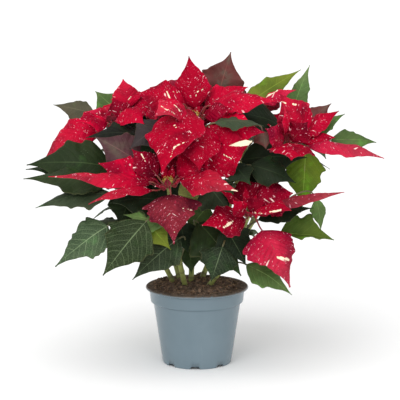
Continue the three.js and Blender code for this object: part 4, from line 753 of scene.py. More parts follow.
def add_blade(piece, form, seed):
    draw = draws(seed)
    rows, up, values, flecks = blade_rows(form, draw)
    lower = rows - FINE_THICKNESS * up[:, None]
    high, wide = rows.shape[:2]
    count = high * wide
    faces = grid_faces(high, wide)
    faces += [[corner + count for corner in face[::-1]] for face in faces]
    rim = [*range(wide), *range(2 * wide - 1, count, wide), *range(count - 2, count - wide - 1, -1),
           *range(count - 2 * wide, 0, -wide)]
    faces += [[a, a + count, b + count, b] for a, b in zip(rim, rim[1:] + rim[:1])]
    values["cream"] = cream_marks(form, rows)
    values = {key: np.tile(value.ravel(), 2) for key, value in values.items()}
    values["under"] = np.repeat([0.0, 1.0], count)
    own_place = seed * 0.37 % 7  # each blade takes its flecks from a place of its own
    piece.add(
        np.concatenate([rows.reshape(-1, 3), lower.reshape(-1, 3)]), faces,
        BRACT_SKIN if form["kind"] == "bract" else LEAF_SKIN, tint=blade_tint(form, draw),
        flecks=np.tile(flecks.reshape(-1, 2), (2, 1)) + own_place, accent=ACCENTS.get(form["name"], 0.0),
        **values)
    add_stalk(piece, form)


STALK_SIDES = 8
STALK_STEPS = 14
STALK_RADII = (1.3, 0.95)
RIB_STEPS = 16
RIB_RANGE = (0.03, 0.9)  # where the midrib's body starts and ends, as shares of the blade's length


def add_stalk(piece, form):
    """The stalk from its root to the blade, and on under the blade as its midrib."""
    reach = form["base"] - form["root"]
    length = np.linalg.norm(reach)
    if form["out"] is not None:
        first = form["root"] + max(0.4 * length, 6) * form["out"]
    else:
        first = form["root"] + 0.35 * reach
        first[2] = form["root"][2] + 0.09 * length
    second = form["base"] - 0.35 * length * midrib(form, 0)[1][0]
    stalk = bezier(form["root"], first, second, form["base"], STALK_STEPS)
    share = np.linspace(*RIB_RANGE, RIB_STEPS)
    point, _, _, up = midrib(form, share)
    rib = point - up * (1.15 + 0.5 * (1 - share))[:, None]
    path = np.concatenate([stalk, rib])
    radii = np.concatenate([np.linspace(*STALK_RADII, len(stalk)), 0.85 * (1 - share) + 0.15])
    piece.add_tube(path, radii, STALK_SIDES, STALK_SKIN, tint=STALK_TINTS[form["kind"]])


# ---- Colours ----

# The shades of the blades. "rear" is for leaves at the back, and those from "crimson" on are for bracts.
# Some of them are painted light and painted shade, as marked.
TINTS = {
    "green": (0.022, 0.033, 0.011),
    "dark": (0.014, 0.022, 0.010),
    # "rear": painted light, a lighter green for the leaves at the back, which lie in shade.
    "rear": (0.034, 0.052, 0.017),
    "lime": (0.096, 0.142, 0.010),
    "bronze": (0.140, 0.036, 0.034),
    "grey": (0.062, 0.088, 0.046),
    "fresh": (0.110, 0.165, 0.050),
    "olive": (0.080, 0.120, 0.016),
    # "sage": painted light, a lighter green for leaves that lie in shade.
    "sage": (0.042, 0.056, 0.030),
    "slate": (0.100, 0.034, 0.044),
    "dusk": (0.046, 0.031, 0.034),
    "night": (0.011, 0.011, 0.008),
    "umber": (0.100, 0.086, 0.054),
    "moss": (0.165, 0.200, 0.022),
    "pale": (0.165, 0.245, 0.080),
    # "straw": painted light, a lighter yellow-green for a leaf that lies in shade.
    "straw": (0.340, 0.360, 0.110),
    "crimson": (0.34, 0.0004, 0.017),
    "red": (0.42, 0.0006, 0.022),
    # "deep": painted shade, the red made darker for the bracts deep inside the heads.
    "deep": (0.24, 0.0004, 0.015),
    "muted": (0.19, 0.017, 0.028),
    # "bright" and "vivid": painted light, the red made lighter for bracts that lie in shade.
    "bright": (0.50, 0.0008, 0.027),
    "vivid": (0.68, 0.0008, 0.034),
    "pink": (0.48, 0.008, 0.042),
}
STALK_TINTS = {
    "bract": (0.21, 0.014, 0.022),
    "green": (0.085, 0.075, 0.028),
    "lime": (0.17, 0.17, 0.04),
    "bronze": (0.10, 0.028, 0.026),
}

# How far the far half of a bract is painted pale pink, a painted glow of light shining through it, and how
# clearly the veins of a leaf show.
ACCENTS = {
    "low_hanging": 0.6, "front_low_right": 0.6, "left_drooping": 0.35, "front_long_left": 0.5,
    "right_long": 0.9, "low_long_right": 0.5, "top_left_rear": 0.5, "left_upright": 0.3,
    "top_right": 0.1, "top_left_front": 0.7, "right_upright": 0.2, "front_low_left": 0.4,
    "front_leaf_l1": 1.0, "front_leaf_l2": 0.8, "front_leaf_l3": 0.7, "low_leaf_n2": 0.6, "low_leaf_n7": 0.3,
    "front_leaf_l4": 0.1, "low_leaf_g5a": 0.2, "low_leaf_g5d": 0.3, "right_leaf_g4f": 0.2,
    "left_leaf_m1": 0.05, "left_leaf_m2": 0.05, "left_leaf_m3": 0.1, "front_leaf_m4": 0.15,
}


def blade_tint(form, draw):
    """The blade's shade, a little darker or lighter than it is listed."""
    return vector(TINTS[form["shade"]]) * between(draw, 0.88, 1.12)


# ---- Materials ----

class Skin:
    """A material, with short ways to write its nodes: a socket is linked, and any other value is set."""

    def __init__(self, name):
        self.material = bpy.data.materials.new(name)
        self.material.use_nodes = True
        self.tree = self.material.node_tree
        self.place = self.add("ShaderNodeTexCoord").outputs["Object"]
        self.base = (1, 1, 1)

    def put(self, socket, value):
        if isinstance(value, bpy.types.NodeSocket):
            self.tree.links.new(value, socket)
        elif isinstance(value, tuple) and socket.type == "RGBA":
            socket.default_value = (*value, 1)
        else:
            socket.default_value = value

    def add(self, kind, inputs=(), **settings):
        node = self.tree.nodes.new(kind)
        for key, value in settings.items():
            setattr(node, key, value)
        for key, value in dict(inputs).items():
            self.put(node.inputs[key], value)
        return node

    def attribute(self, name, output="Fac"):
        return self.add("ShaderNodeAttribute", attribute_name=name).outputs[output]

    def tint(self):
        return self.attribute("tint", "Color")

    def math(self, operation, a, b=0.0):
        return self.add("ShaderNodeMath", {0: a, 1: b}, operation=operation).outputs[0]

    def times(self, a, b):
        return self.math("MULTIPLY", a, b)

    def vectors(self, operation, *inputs):
        inputs = dict(enumerate(inputs))
        return self.add("ShaderNodeVectorMath", inputs, operation=operation).outputs[0]

    def parts(self, colour):
        return self.add("ShaderNodeSeparateColor", {0: colour}).outputs

    def range(self, value, low, high, to_low=0.0, to_high=1.0):
        """A soft step up from low to high, or down where low is the greater one."""
        inputs = {"Value": value, "From Min": low, "From Max": high, "To Min": to_low, "To Max": to_high}
        return self.add("ShaderNodeMapRange", inputs, interpolation_type="SMOOTHSTEP").outputs[0]

    def mix(self, factor, a, b, blend="MIX"):
        inputs = {0: factor, 6: a, 7: b}
        return self.add("ShaderNodeMix", inputs, data_type="RGBA", blend_type=blend).outputs[2]

    def filtered(self, colour, filter):
        return self.mix(1.0, colour, filter, "MULTIPLY")

    def noise(self, scale, detail=3.0, rough=0.55, place=None):
        """A noise of about so many lumps to the metre."""
        inputs = {"Vector": place or self.place, "Scale": scale, "Detail": detail, "Roughness": rough}
        return self.add("ShaderNodeTexNoise", inputs).outputs["Fac"]

    def cells(self, scale, place=None, **settings):
        inputs = {"Vector": place or self.place, "Scale": scale}
        return self.add("ShaderNodeTexVoronoi", inputs, **settings).outputs

    def bump(self, height, strength, distance, under=None):
        """A relief of a height in metres, on top of another one."""
        inputs = {"Height": height, "Strength": strength, "Distance": distance}
        if under is not None:
            inputs["Normal"] = under
        return self.add("ShaderNodeBump", inputs).outputs[0]

    def lay(self, colour, amount, strength=1.0):
        """Lays a colour over the base colour, as far as an amount from 0 to 1 says."""
        if strength != 1.0:
            amount = self.times(amount, strength)
        self.base = self.mix(amount, self.base, colour)

    def finish(self, rough, normal=None, specular=0.5):
        shader = self.tree.nodes["Principled BSDF"]
        inputs = {"Base Color": self.base, "Roughness": rough, "Specular IOR Level": specular}
        if normal is not None:
            inputs["Normal"] = normal
        for key, value in inputs.items():
            self.put(shader.inputs[key], value)
        return self.material


def blade_edge(skin):
    """0 on a blade's midrib and 1 on its edges."""
    return skin.math("ABSOLUTE", skin.attribute("edge"))


def side_veins(skin, width):
    """1 on the side veins, fading to 0 at a share of the distance between two of them."""
    phase = skin.math("ADD", skin.attribute("vein"), 100.5)
    off = skin.math("ABSOLUTE", skin.math("SUBTRACT", skin.math("FRACT", phase), 0.5))
    return skin.range(off, width, 0.0)


FLECK_WARPS = [(0.35, 1.7), (1.3, 0.85)]  # the scale and the reach of each, in cells
FLECK_FADE = 0.10
FLECK_RADII = (0.07, 0.24)  # from the smallest to the largest, in cells
STREAK_RADII = (0.08, 0.22)
STREAK_CELL = (22.0, 5.0)
STREAK_SHARE = 0.08

# The smaller flecks of a bract: the length and the width of a cell in millimetres, the share of the cells
# that hold one where they are crowded, how strongly they show, and their colour.
FLECKS = [
    ((2.3, 1.4), 0.42, 0.5, (0.72, 0.13, 0.22)),
    ((4.6, 2.1), 0.30, 0.75, (0.84, 0.36, 0.44)),
    ((9.0, 2.8), 0.15, 0.9, (0.87, 0.52, 0.54)),
]


def flecks(skin, cell, share, smallest, largest):
    """Flecks that lie along the side veins, in cells of a size in mm of which a share holds one."""
    place = skin.add("ShaderNodeUVMap", uv_map="flecks").outputs[0]
    place = skin.vectors("MULTIPLY", place, (100 / cell[0], 100 / cell[1], 1))
    for scale, reach in FLECK_WARPS:
        warp = skin.add("ShaderNodeTexNoise", {"Vector": place, "Scale": scale, "Detail": 2.0})
        place = skin.vectors("MULTIPLY_ADD", warp.outputs["Color"], (reach, reach, 0.0), place)
    cells = skin.cells(1.0, place, voronoi_dimensions="2D")
    own = skin.parts(cells["Color"])
    radius = skin.range(own[0], 0.0, 1.0, smallest, largest)
    inside = skin.math("SUBTRACT", radius, cells["Distance"])
    return skin.times(skin.range(inside, 0.0, FLECK_FADE), skin.math("LESS_THAN", own[1], share))


# Colours are linear red, green and blue. These are the colours of bracts: four filters for a blade's own
# shade, and then colours as such.
DEEPER = (0.42, 0.40, 0.54)
LIVELIER = (1.26, 2.6, 1.5)
VEIN_FILTER = (0.5, 0.5, 0.6)
# Painted shade: a filter that darkens each bract towards its base at the hub, where the bracts shade each
# other.
HUB_SHADE_FILTER = (0.62, 0.5, 0.66)
RED_GRAIN = (0.50, 0.006, 0.036)
# Painted light: the pink of light shining through the far half of a bract.
PINK_GLOW = (0.58, 0.065, 0.095)
# Pink mottles: partly the bracts' own blotches, partly a painted sheen.
PINK_MOTTLE_AND_SHEEN = (0.56, 0.030, 0.080)
BRACT_EDGE = (0.60, 0.05, 0.10)
STREAK = (0.88, 0.62, 0.58)
CREAMS = (0.84, 0.66, 0.50), (0.88, 0.80, 0.56)
BRACT_BACKS = (0.30, 0.030, 0.055), (0.40, 0.050, 0.080)

# The colours of leaves: three filters, what is added for pale veins, and colours as such.
LEAF_DEEPER = (0.55, 0.66, 0.60)
LEAF_FRESHER = (0.95, 1.5, 0.95)
LEAF_PALER = (2.2, 2.4, 2.2)
PALE_ADDED = (0.020, 0.030, 0.014)
CLEAR_VEIN = (0.24, 0.31, 0.17)
YOUNG_MIDDLE = (0.105, 0.085, 0.062)
LEAF_EDGE = (0.11, 0.095, 0.04)
LEAF_BACK = (0.13, 0.18, 0.10)

# The colours of everything else.
STALK_GREEN = (0.20, 0.22, 0.06)
YOUNG_STEM = (0.20, 0.245, 0.060), (0.30, 0.33, 0.090)
WOODY_STEM = (0.13, 0.085, 0.045), (0.24, 0.17, 0.085)
SCAR_BROWN = (0.09, 0.055, 0.035)
PALE_BARK = (0.30, 0.24, 0.13)
YELLOW_SPECKLE = (0.50, 0.48, 0.12)
PLASTIC = (0.130, 0.184, 0.217), (0.151, 0.208, 0.243)
SCUFF = (0.26, 0.32, 0.35)
GRIME = (0.105, 0.075, 0.052)
PAPER = (0.90, 0.90, 0.90), (0.92, 0.92, 0.92)


def bract_material():
    skin = Skin("bract_skin")
    tint, along, out = skin.tint(), skin.attribute("along"), blade_edge(skin)
    broad, fine = skin.noise(24.0), skin.noise(420.0, 4.0)
    skin.base = skin.filtered(tint, DEEPER)
    skin.lay(tint, skin.range(broad, 0.34, 0.54))
    skin.lay(skin.filtered(tint, LIVELIER), skin.range(broad, 0.56, 0.74))
    skin.lay(RED_GRAIN, skin.range(fine, 0.52, 0.80), 0.3)
    # Painted light: the far half of a bract made pinker, as if light shone through it.
    glow = skin.times(skin.attribute("accent"), skin.range(along, 0.15, 0.95))
    skin.lay(PINK_GLOW, glow, 0.5)
    skin.lay(skin.filtered(tint, VEIN_FILTER), side_veins(skin, 0.14), 0.3)
    # Painted shade: the bract made darker towards its base at the hub.
    skin.lay(skin.filtered(skin.base, HUB_SHADE_FILTER), skin.range(along, 0.24, 0.0))
    # Pink mottles at random places: partly the bracts' own blotches, partly a painted sheen.
    mottle_and_sheen = skin.range(skin.noise(150.0), 0.60, 0.72)
    mottle_and_sheen = skin.times(mottle_and_sheen, skin.range(skin.noise(30.0, 2.0), 0.46, 0.62))
    skin.lay(PINK_MOTTLE_AND_SHEEN, mottle_and_sheen, 0.30)
    skin.lay(BRACT_EDGE, skin.range(out, 0.92, 1.0), 0.14)
    crowd = skin.range(skin.noise(34.0, 2.0), 0.38, 0.58, 0.30, 1.15)
    for cell, share, strength, colour in FLECKS:
        skin.lay(colour, flecks(skin, cell, skin.times(crowd, share), *FLECK_RADII), strength)
    skin.lay(STREAK, flecks(skin, STREAK_CELL, STREAK_SHARE, *STREAK_RADII), 0.95)
    ragged = skin.math("ADD", skin.attribute("cream"), skin.range(fine, 0.0, 1.0, -0.10, 0.10))
    ragged = skin.math("ADD", ragged, skin.range(skin.noise(160.0, 2.0), 0.0, 1.0, -0.10, 0.10))
    patchy = skin.range(broad, 0.3, 0.7)
    skin.lay(skin.mix(patchy, *CREAMS), skin.range(ragged, 0.46, 0.54))
    skin.lay(skin.mix(patchy, *BRACT_BACKS), skin.attribute("under"), 0.8)
    grain = skin.bump(skin.noise(900.0), 0.25, 0.0006)
    crepe = skin.bump(skin.noise(260.0, 2.0), 0.35, 0.0012, grain)
    return skin.finish(skin.range(fine, 0.2, 0.8, 0.42, 0.58), crepe, specular=0.03)


def leaf_material():
    skin = Skin("leaf_skin")
    tint, clear, out = skin.tint(), skin.attribute("accent"), blade_edge(skin)
    skin.base = skin.filtered(tint, LEAF_DEEPER)
    skin.lay(tint, skin.range(skin.noise(22.0), 0.35, 0.72))
    skin.lay(skin.filtered(tint, LEAF_FRESHER), skin.range(skin.noise(40.0), 0.55, 0.75))
    red, green, _ = skin.parts(tint)
    young = skin.range(skin.math("SUBTRACT", red, green), 0.01, 0.08)
    young = skin.times(young, skin.range(out, 0.75, 0.1))
    young = skin.times(young, skin.range(skin.noise(60.0), 0.36, 0.62))
    skin.lay(YOUNG_MIDDLE, young, 0.75)
    pale = skin.mix(1.0, skin.filtered(tint, LEAF_PALER), PALE_ADDED, "ADD")
    pale = skin.mix(skin.times(clear, 0.6), pale, CLEAR_VEIN)
    skin.lay(pale, side_veins(skin, 0.042), skin.range(clear, 0.0, 1.0, 0.16, 0.80))
    skin.lay(pale, skin.range(out, 0.032, 0.008), skin.range(clear, 0.0, 0.5, 0.4, 0.9))
    net = skin.range(skin.cells(420.0, feature="DISTANCE_TO_EDGE")["Distance"], 0.12, 0.0)
    skin.lay(pale, net, skin.range(clear, 0.0, 1.0, 0.04, 0.22))
    skin.lay(LEAF_EDGE, skin.range(out, 0.93, 1.0), 0.3)
    skin.lay(skin.mix(0.6, tint, LEAF_BACK), skin.attribute("under"), 0.75)
    normal = skin.bump(skin.noise(240.0), 0.3, 0.0010, skin.bump(net, 0.2, 0.0004))
    return skin.finish(skin.range(skin.noise(120.0), 0.2, 0.8, 0.44, 0.60), normal, specular=0.09)


def stalk_material():
    skin = Skin("stalk_skin")
    skin.base = skin.tint()
    skin.lay(skin.mix(0.5, skin.base, STALK_GREEN), skin.range(skin.noise(90.0), 0.42, 0.68), 0.45)
    return skin.finish(0.45, skin.bump(skin.noise(600.0, 2.0), 0.2, 0.0004))


def stem_material():
    skin = Skin("stem_skin")
    blotch = skin.noise(70.0, 4.0)
    patchy = skin.range(blotch, 0.3, 0.7)
    skin.base = skin.mix(patchy, *YOUNG_STEM)
    age = skin.math("ADD", skin.attribute("along"), skin.range(blotch, 0.0, 1.0, -0.12, 0.12))
    skin.lay(skin.mix(patchy, *WOODY_STEM), skin.range(age, 0.16, 0.02))
    skin.lay(SCAR_BROWN, skin.attribute("cream"), 0.8)
    bark = skin.noise(700.0, 4.0, place=skin.vectors("MULTIPLY", skin.place, (1.0, 1.0, 0.18)))
    skin.lay(PALE_BARK, skin.range(bark, 0.55, 0.75), 0.35)
    return skin.finish(0.6, skin.bump(bark, 0.5, 0.0008))


def cyathium_material():
    skin = Skin("cyathium_skin")
    skin.base = skin.tint()
    speckle = skin.noise(900.0)
    skin.lay(YELLOW_SPECKLE, skin.range(speckle, 0.4, 0.7), 0.45)
    return skin.finish(0.38, skin.bump(speckle, 0.25, 0.0003))


def pot_material():
    skin = Skin("pot_plastic")
    broad = skin.noise(14.0)
    skin.base = skin.mix(skin.range(broad, 0.3, 0.7), *PLASTIC)
    scuffs = skin.noise(160.0, 5.0, place=skin.vectors("MULTIPLY", skin.place, (1.0, 1.0, 0.05)))
    skin.lay(SCUFF, skin.range(scuffs, 0.60, 0.80), 0.08)
    height = skin.add("ShaderNodeSeparateXYZ", {0: skin.place}).outputs[2]
    grime = skin.range(height, (POT_HEIGHT - 2.5) * MM, (POT_HEIGHT - 0.5) * MM)
    grime = skin.times(grime, skin.range(skin.noise(130.0, 5.0), 0.28, 0.50))
    skin.lay(GRIME, skin.math("MAXIMUM", grime, skin.attribute("cream")), 0.9)
    rough = skin.range(broad, 0.3, 0.7, 0.22, 0.27)
    return skin.finish(rough, skin.bump(skin.noise(900.0, 2.0), 0.04, 0.0003))


def soil_material(name, dark, light, pale):
    skin = Skin(name)
    skin.base = skin.mix(skin.range(skin.noise(190.0, 5.0, 0.65), 0.35, 0.65), dark, light)
    bits = skin.cells(480.0)
    seldom = skin.math("LESS_THAN", skin.parts(bits["Color"])[0], 0.10)
    skin.lay(pale, skin.times(skin.range(bits["Distance"], 0.42, 0.30), seldom), 0.6)
    skin.base = skin.filtered(skin.base, skin.tint())
    return skin.finish(0.95, skin.bump(skin.noise(700.0, 5.0, 0.7), 0.9, 0.0015))


BRACT_SKIN = bract_material()
LEAF_SKIN = leaf_material()
STALK_SKIN = stalk_material()
STEM_SKIN = stem_material()
CYATHIUM_SKIN = cyathium_material()
POT_PLASTIC = pot_material()
PEAT = soil_material("peat", (0.060, 0.040, 0.028), (0.210, 0.142, 0.098), (0.42, 0.32, 0.22))
PEAT_BITS = soil_material("peat_bits", (0.080, 0.052, 0.036), (0.260, 0.175, 0.120), (0.46, 0.36, 0.25))


# ---- Stems, hubs and heads ----

STEM_STEPS = 90
STEM_SIDES = 16
STEM_START = 0.05
OLD_SCARS = [0.14, 0.21, 0.29]  # where older leaves have dropped, as shares of the stem
SCAR_REACH = 0.009
SCAR_RING_REACH = 0.0045
SCAR_SWELLING = 0.45
HUB_SIDES = 20
HUB_RISES = np.array([-2, -1.6, -0.6, 0.6, 1.6, 2]) / 4  # as shares of the hub's thickness
HUB_RADII = HUB_RADIUS * np.array([0.62, 0.82, 0.98, 0.98, 0.80, 0.55])
HUB_BROWN = (0.22, 0.12, 0.05)

# The inner bracts: how many a head has, and the first value and the step of what changes from each to the
# next, in degrees or millimetres.
INNER_BRACTS = 8
INNER_RISE = (58, -5)
INNER_LENGTH = (14, 2.4)
INNER_REACH = (8, 0.7)
INNER_HEIGHT = (1.5, -0.3)
INNER_ARCH = 0.14
INNER_FOLD = 16


def add_stem(piece, shoot, heights):
    """A stem with a swelling and a scar at each leaf, and at each of the old scars."""
    top = 1 - (HUB_THICKNESS / 2 + GAP) / np.linalg.norm(shoot.hub - shoot.middle) / 2
    share = np.linspace(STEM_START, top, STEM_STEPS)
    scars = [*heights, *OLD_SCARS]
    swell = sum(hump(share - scar, SCAR_REACH) for scar in scars)
    ring = sum(hump(share - scar - 0.004, SCAR_RING_REACH) for scar in scars)
    uneven = 1 + 0.03 * np.sin(37 * share + shoot.hub[0])
    radii = stem_radius(share) * uneven + SCAR_SWELLING * np.clip(swell, 0, 1)
    path = [shoot.point(value) for value in share]
    marks = dict(along=share, cream=np.clip(ring, 0, 1))
    marks = {key: np.repeat(value, STEM_SIDES) for key, value in marks.items()}
    piece.add_tube(path, radii, STEM_SIDES, STEM_SKIN, **marks)


def add_hub(piece, shoot):
    path = [shoot.at(rise) for rise in HUB_RISES * HUB_THICKNESS]
    piece.add_tube(path, HUB_RADII, HUB_SIDES, STALK_SKIN, tint=HUB_BROWN)


def add_inner_bracts(piece, name, seed):
    """The smallest bracts, close round the cyathia of a head."""
    draw = draws(seed)
    shoot = shoots[name]
    for k in range(INNER_BRACTS):
        angle = math.radians(GOLDEN_ANGLE * k + 30 * next(draw))
        rise = math.radians(series(INNER_RISE, k) + 8 * next(draw))
        length = series(INNER_LENGTH, k) + 4 * next(draw)
        out = shoot.out(angle)
        base = shoot.hub + series(INNER_REACH, k) * out + series(INNER_HEIGHT, k) * shoot.axis
        tip, face = rising(base, out, shoot.axis, length, rise)
        width = between(draw, 0.42, 0.54) * length
        form = bract(f"{name}_smallest", base, tip, width, INNER_ARCH, face, INNER_FOLD, "crimson")
        form.update(root=shoot.hub + STALK_RING * out, out=None, steps=INNER_STEPS)
        add_blade(piece, form, seed * 10 + k)


# Radii and heights of a cup, as shares of its radius and length.
CUP_PROFILE = [
    (0.30, 0.0), (0.62, 0.06), (0.88, 0.22), (1.0, 0.45), (0.96, 0.66), (0.80, 0.82), (0.62, 0.90),
    (0.52, 0.88), (0.42, 0.76), (0.20, 0.70),
]
CUP_SIDES = 14
CUP_GREEN = vector([0.24, 0.33, 0.045])
CUP_RED = vector([0.42, 0.05, 0.03])
GLAND_HEIGHT = 0.66
GLAND_OUT = 0.95
GLAND_RISES = (-1.1, -0.6, 0, 0.6, 1.0)
GLAND_RADII = (0.35, 0.85, 1.0, 0.8, 0.3)
GLAND_SIDES = 10
GLAND_YELLOW = (0.66, 0.48, 0.03)
STAMENS = 6
STAMEN_FOOT = 0.72
STAMEN_RADII = (0.16, 0.15, 0.17, 0.36, 0.15)
STAMEN_SIDES = 6
STAMEN_TINTS = [(0.5, 0.03, 0.03)] * 3 + [(0.70, 0.55, 0.08)] * 2

# The disc that the cups stand on.
DISC_RISES = (0, 0.5, 1.2, 1.6)
DISC_RADII = (3.6, 4.0, 3.5, 2.2)
DISC_SIDES = 16
DISC_GREEN = (0.20, 0.24, 0.05)
MIDDLE_CUP = 1.1  # the size of the cup in the middle, as a share of CUP_RADIUS and CUP_LENGTH


def add_cyathium(piece, foot, direction, size, draw):
    """One cup, with a yellow nectar gland on its side and a tuft of red stamens."""
    radius, length = CUP_RADIUS * size, CUP_LENGTH * size
    across = square_to(vector([0.3, 1, 0.2]), direction)
    other = np.cross(direction, across)
    lobes = 1 + 0.05 * np.cos(5 * angles_round(CUP_SIDES))[:, None]
    wall = circle(across, other, CUP_SIDES) * lobes * radius
    rings = [foot + direction * height * length + share * wall for share, height in CUP_PROFILE]
    heights = np.repeat([height for _, height in CUP_PROFILE], CUP_SIDES)[:, None]
    tint = CUP_GREEN + (CUP_RED - CUP_GREEN) * smooth(0.74, 0.92, heights)
    piece.add(np.concatenate(rings), body_faces(len(rings), CUP_SIDES), CYATHIUM_SKIN, tint=tint)

    out = turned(across, other, 2 * math.pi * next(draw))
    gland = foot + direction * GLAND_HEIGHT * length + out * radius * GLAND_OUT
    path = [gland + rise * direction for rise in GLAND_RISES]
    piece.add_tube(path, GLAND_RADII, GLAND_SIDES, CYATHIUM_SKIN, tint=GLAND_YELLOW)

    for k in range(STAMENS):
        out = turned(across, other, 2 * math.pi * (k + next(draw)) / STAMENS)
        way = unit(direction + between(draw, 0.25, 0.55) * out)
        start = foot + direction * STAMEN_FOOT * length + 0.5 * (way - direction)
        reach = between(draw, 1.6, 2.8) * size
        heights = [0, 0.6 * reach, reach, reach + 0.35, reach + 0.7]
        path = [start + way * height for height in heights]
        tint = np.repeat(STAMEN_TINTS, STAMEN_SIDES, axis=0)
        piece.add_tube(path, STAMEN_RADII, STAMEN_SIDES, CYATHIUM_SKIN, tint=tint)


PLANT_SEED = 5
INNER_SEED = 80
CUP_SEED = 60
SLOTS = {"leafy": "leaf_green", "bracts": "bract_red", "bronze": "leaf_bronze"}


def make_cyathia(name, shoot, seed):
    draw = draws(seed)
    piece = Piece(f"cyathia_{name}_fine")
    seat = HUB_THICKNESS / 2 + GAP
    path = [shoot.at(seat + rise) for rise in DISC_RISES]
    piece.add_tube(path, DISC_RADII, DISC_SIDES, CYATHIUM_SKIN, tint=DISC_GREEN)
    middle = shoot.at(seat + max(DISC_RISES) / 2)
    add_cyathium(piece, middle, shoot.axis, MIDDLE_CUP, draw)
    for angle in angles_round(CUPS_ROUND):
        out = shoot.out(angle)
        size = between(draw, 0.95, 1.03)
        add_cyathium(piece, middle + CUP_SPREAD * out, unit(shoot.axis + 0.6 * out), size, draw)
    piece.make("cyathium", f"cyathia_{name}")


def make_plant():
    seeds = draws(PLANT_SEED)
    forms = [form for form in map(settled, PLACED + BY_RULE) if form is not None]
    pieces = {}
    for name, shoot in shoots.items():
        pieces[f"leafy_stem_{name}"] = Piece(f"leafy_stem_{name}_fine")
        head = pieces[f"bracts_{name}"] = Piece(f"bracts_{name}_fine")
        add_hub(head, shoot)
        add_inner_bracts(head, name, INNER_SEED + len(pieces))
    for form in forms:
        node = node_of(form)
        piece = pieces.setdefault(node, Piece(f"{node}_fine"))
        add_blade(piece, form, 1 + int(1e6 * next(seeds)))
    for name, shoot in shoots.items():
        heights = [form["height"] for form in forms if form["shoot"] == name and "height" in form]
        add_stem(pieces[f"leafy_stem_{name}"], shoot, heights)
        make_cyathia(name, shoot, CUP_SEED + len(name))
    for node, piece in pieces.items():
        piece.make(SLOTS[node.split("_")[0]], node)


# ---- Pot ----

POT_SIDES = 240
POT_ROUNDING = 1.2
WALL_STEP = 12
AXIS_RADIUS = 0.01
INSIDE_AFTER = 12  # this many points of the profile past the rim, the inside starts
DIRT_STRENGTH = 0.8
DRILL_SIDES = 32
DRILL_START = 2
DRILL_DEPTH = 6
DIRT_DEPTH = 6  # how far below the soil's level the inside of the pot is dirty
RING_MARGIN = 10  # the notches leave the floor's pad and this much round it as they are


def rounded(corners, radius, steps=4):
    """A profile with each of its corners rounded by an arc-like curve of about the given radius."""
    corners = [vector(corner) for corner in corners]
    result = [corners[0]]
    for before, corner, after in zip(corners, corners[1:], corners[2:]):
        back, ahead = before - corner, after - corner
        reach = min(radius, 0.45 * np.linalg.norm(back), 0.45 * np.linalg.norm(ahead))
        start, end = corner + unit(back) * reach, corner + unit(ahead) * reach
        for t in np.linspace(0, 1, steps + 1):
            result.append((1 - t) ** 2 * start + 2 * t * (1 - t) * corner + t * t * end)
    result.append(corners[-1])
    return np.array(result)


def notch_height(angle):
    """How far the foot ring is cut away at an angle, in degrees round from +X."""
    turn = 360 / NOTCHES
    off = np.abs((angle - NOTCH_START + turn / 2) % turn - turn / 2)
    reach = math.degrees(NOTCH_WIDTH / 2 / FOOT_RADIUS)
    return NOTCH_HEIGHT * smooth(reach, 0.62 * reach, off)


def pot_profile():
    inner = POT_WALL
    floor = FLOOR_UNDERSIDE + FLOOR_THICKNESS
    flange = POT_HEIGHT - FLANGE_THICKNESS
    corners = [
        (AXIS_RADIUS, 0), (PAD_RADIUS, 0), (PAD_RADIUS + PAD_SLOPE, FLOOR_UNDERSIDE),
        (FOOT_RADIUS - FOOT_WIDTH - PAD_SLOPE / 2, FLOOR_UNDERSIDE), (FOOT_RADIUS - FOOT_WIDTH, 0),
        (FOOT_RADIUS, 0), (BODY_RADIUS, STEP_HEIGHT - STEP_HALF),
        (COLLAR_LOW_RADIUS, STEP_HEIGHT + STEP_HALF), (COLLAR_RADIUS, flange - FLANGE_FILLET),
        (RIM_RADIUS - FLANGE_BEVEL, flange),
        (RIM_RADIUS, POT_HEIGHT - FLANGE_THICKNESS / 2), (RIM_RADIUS - FLANGE_BEVEL, POT_HEIGHT),
        (COLLAR_RADIUS + FLANGE_BEVEL, POT_HEIGHT), (COLLAR_RADIUS - inner, flange),
        (COLLAR_LOW_RADIUS - inner, STEP_HEIGHT + STEP_HALF), (BODY_RADIUS - inner, STEP_HEIGHT - STEP_HALF),
        (FOOT_RADIUS - inner + floor * (BODY_RADIUS - FOOT_RADIUS) / STEP_HEIGHT, floor),
        (PAD_RADIUS + 2 * PAD_SLOPE, floor), (PAD_RADIUS, FLOOR_THICKNESS), (AXIS_RADIUS, FLOOR_THICKNESS),
    ]
    profile = rounded(corners, POT_ROUNDING)
    wall = [np.linspace(a, b, 2 + int(np.linalg.norm(b - a) / WALL_STEP))[:-1]
            for a, b in zip(profile, profile[1:])]
    return np.concatenate([*wall, profile[-1:]])


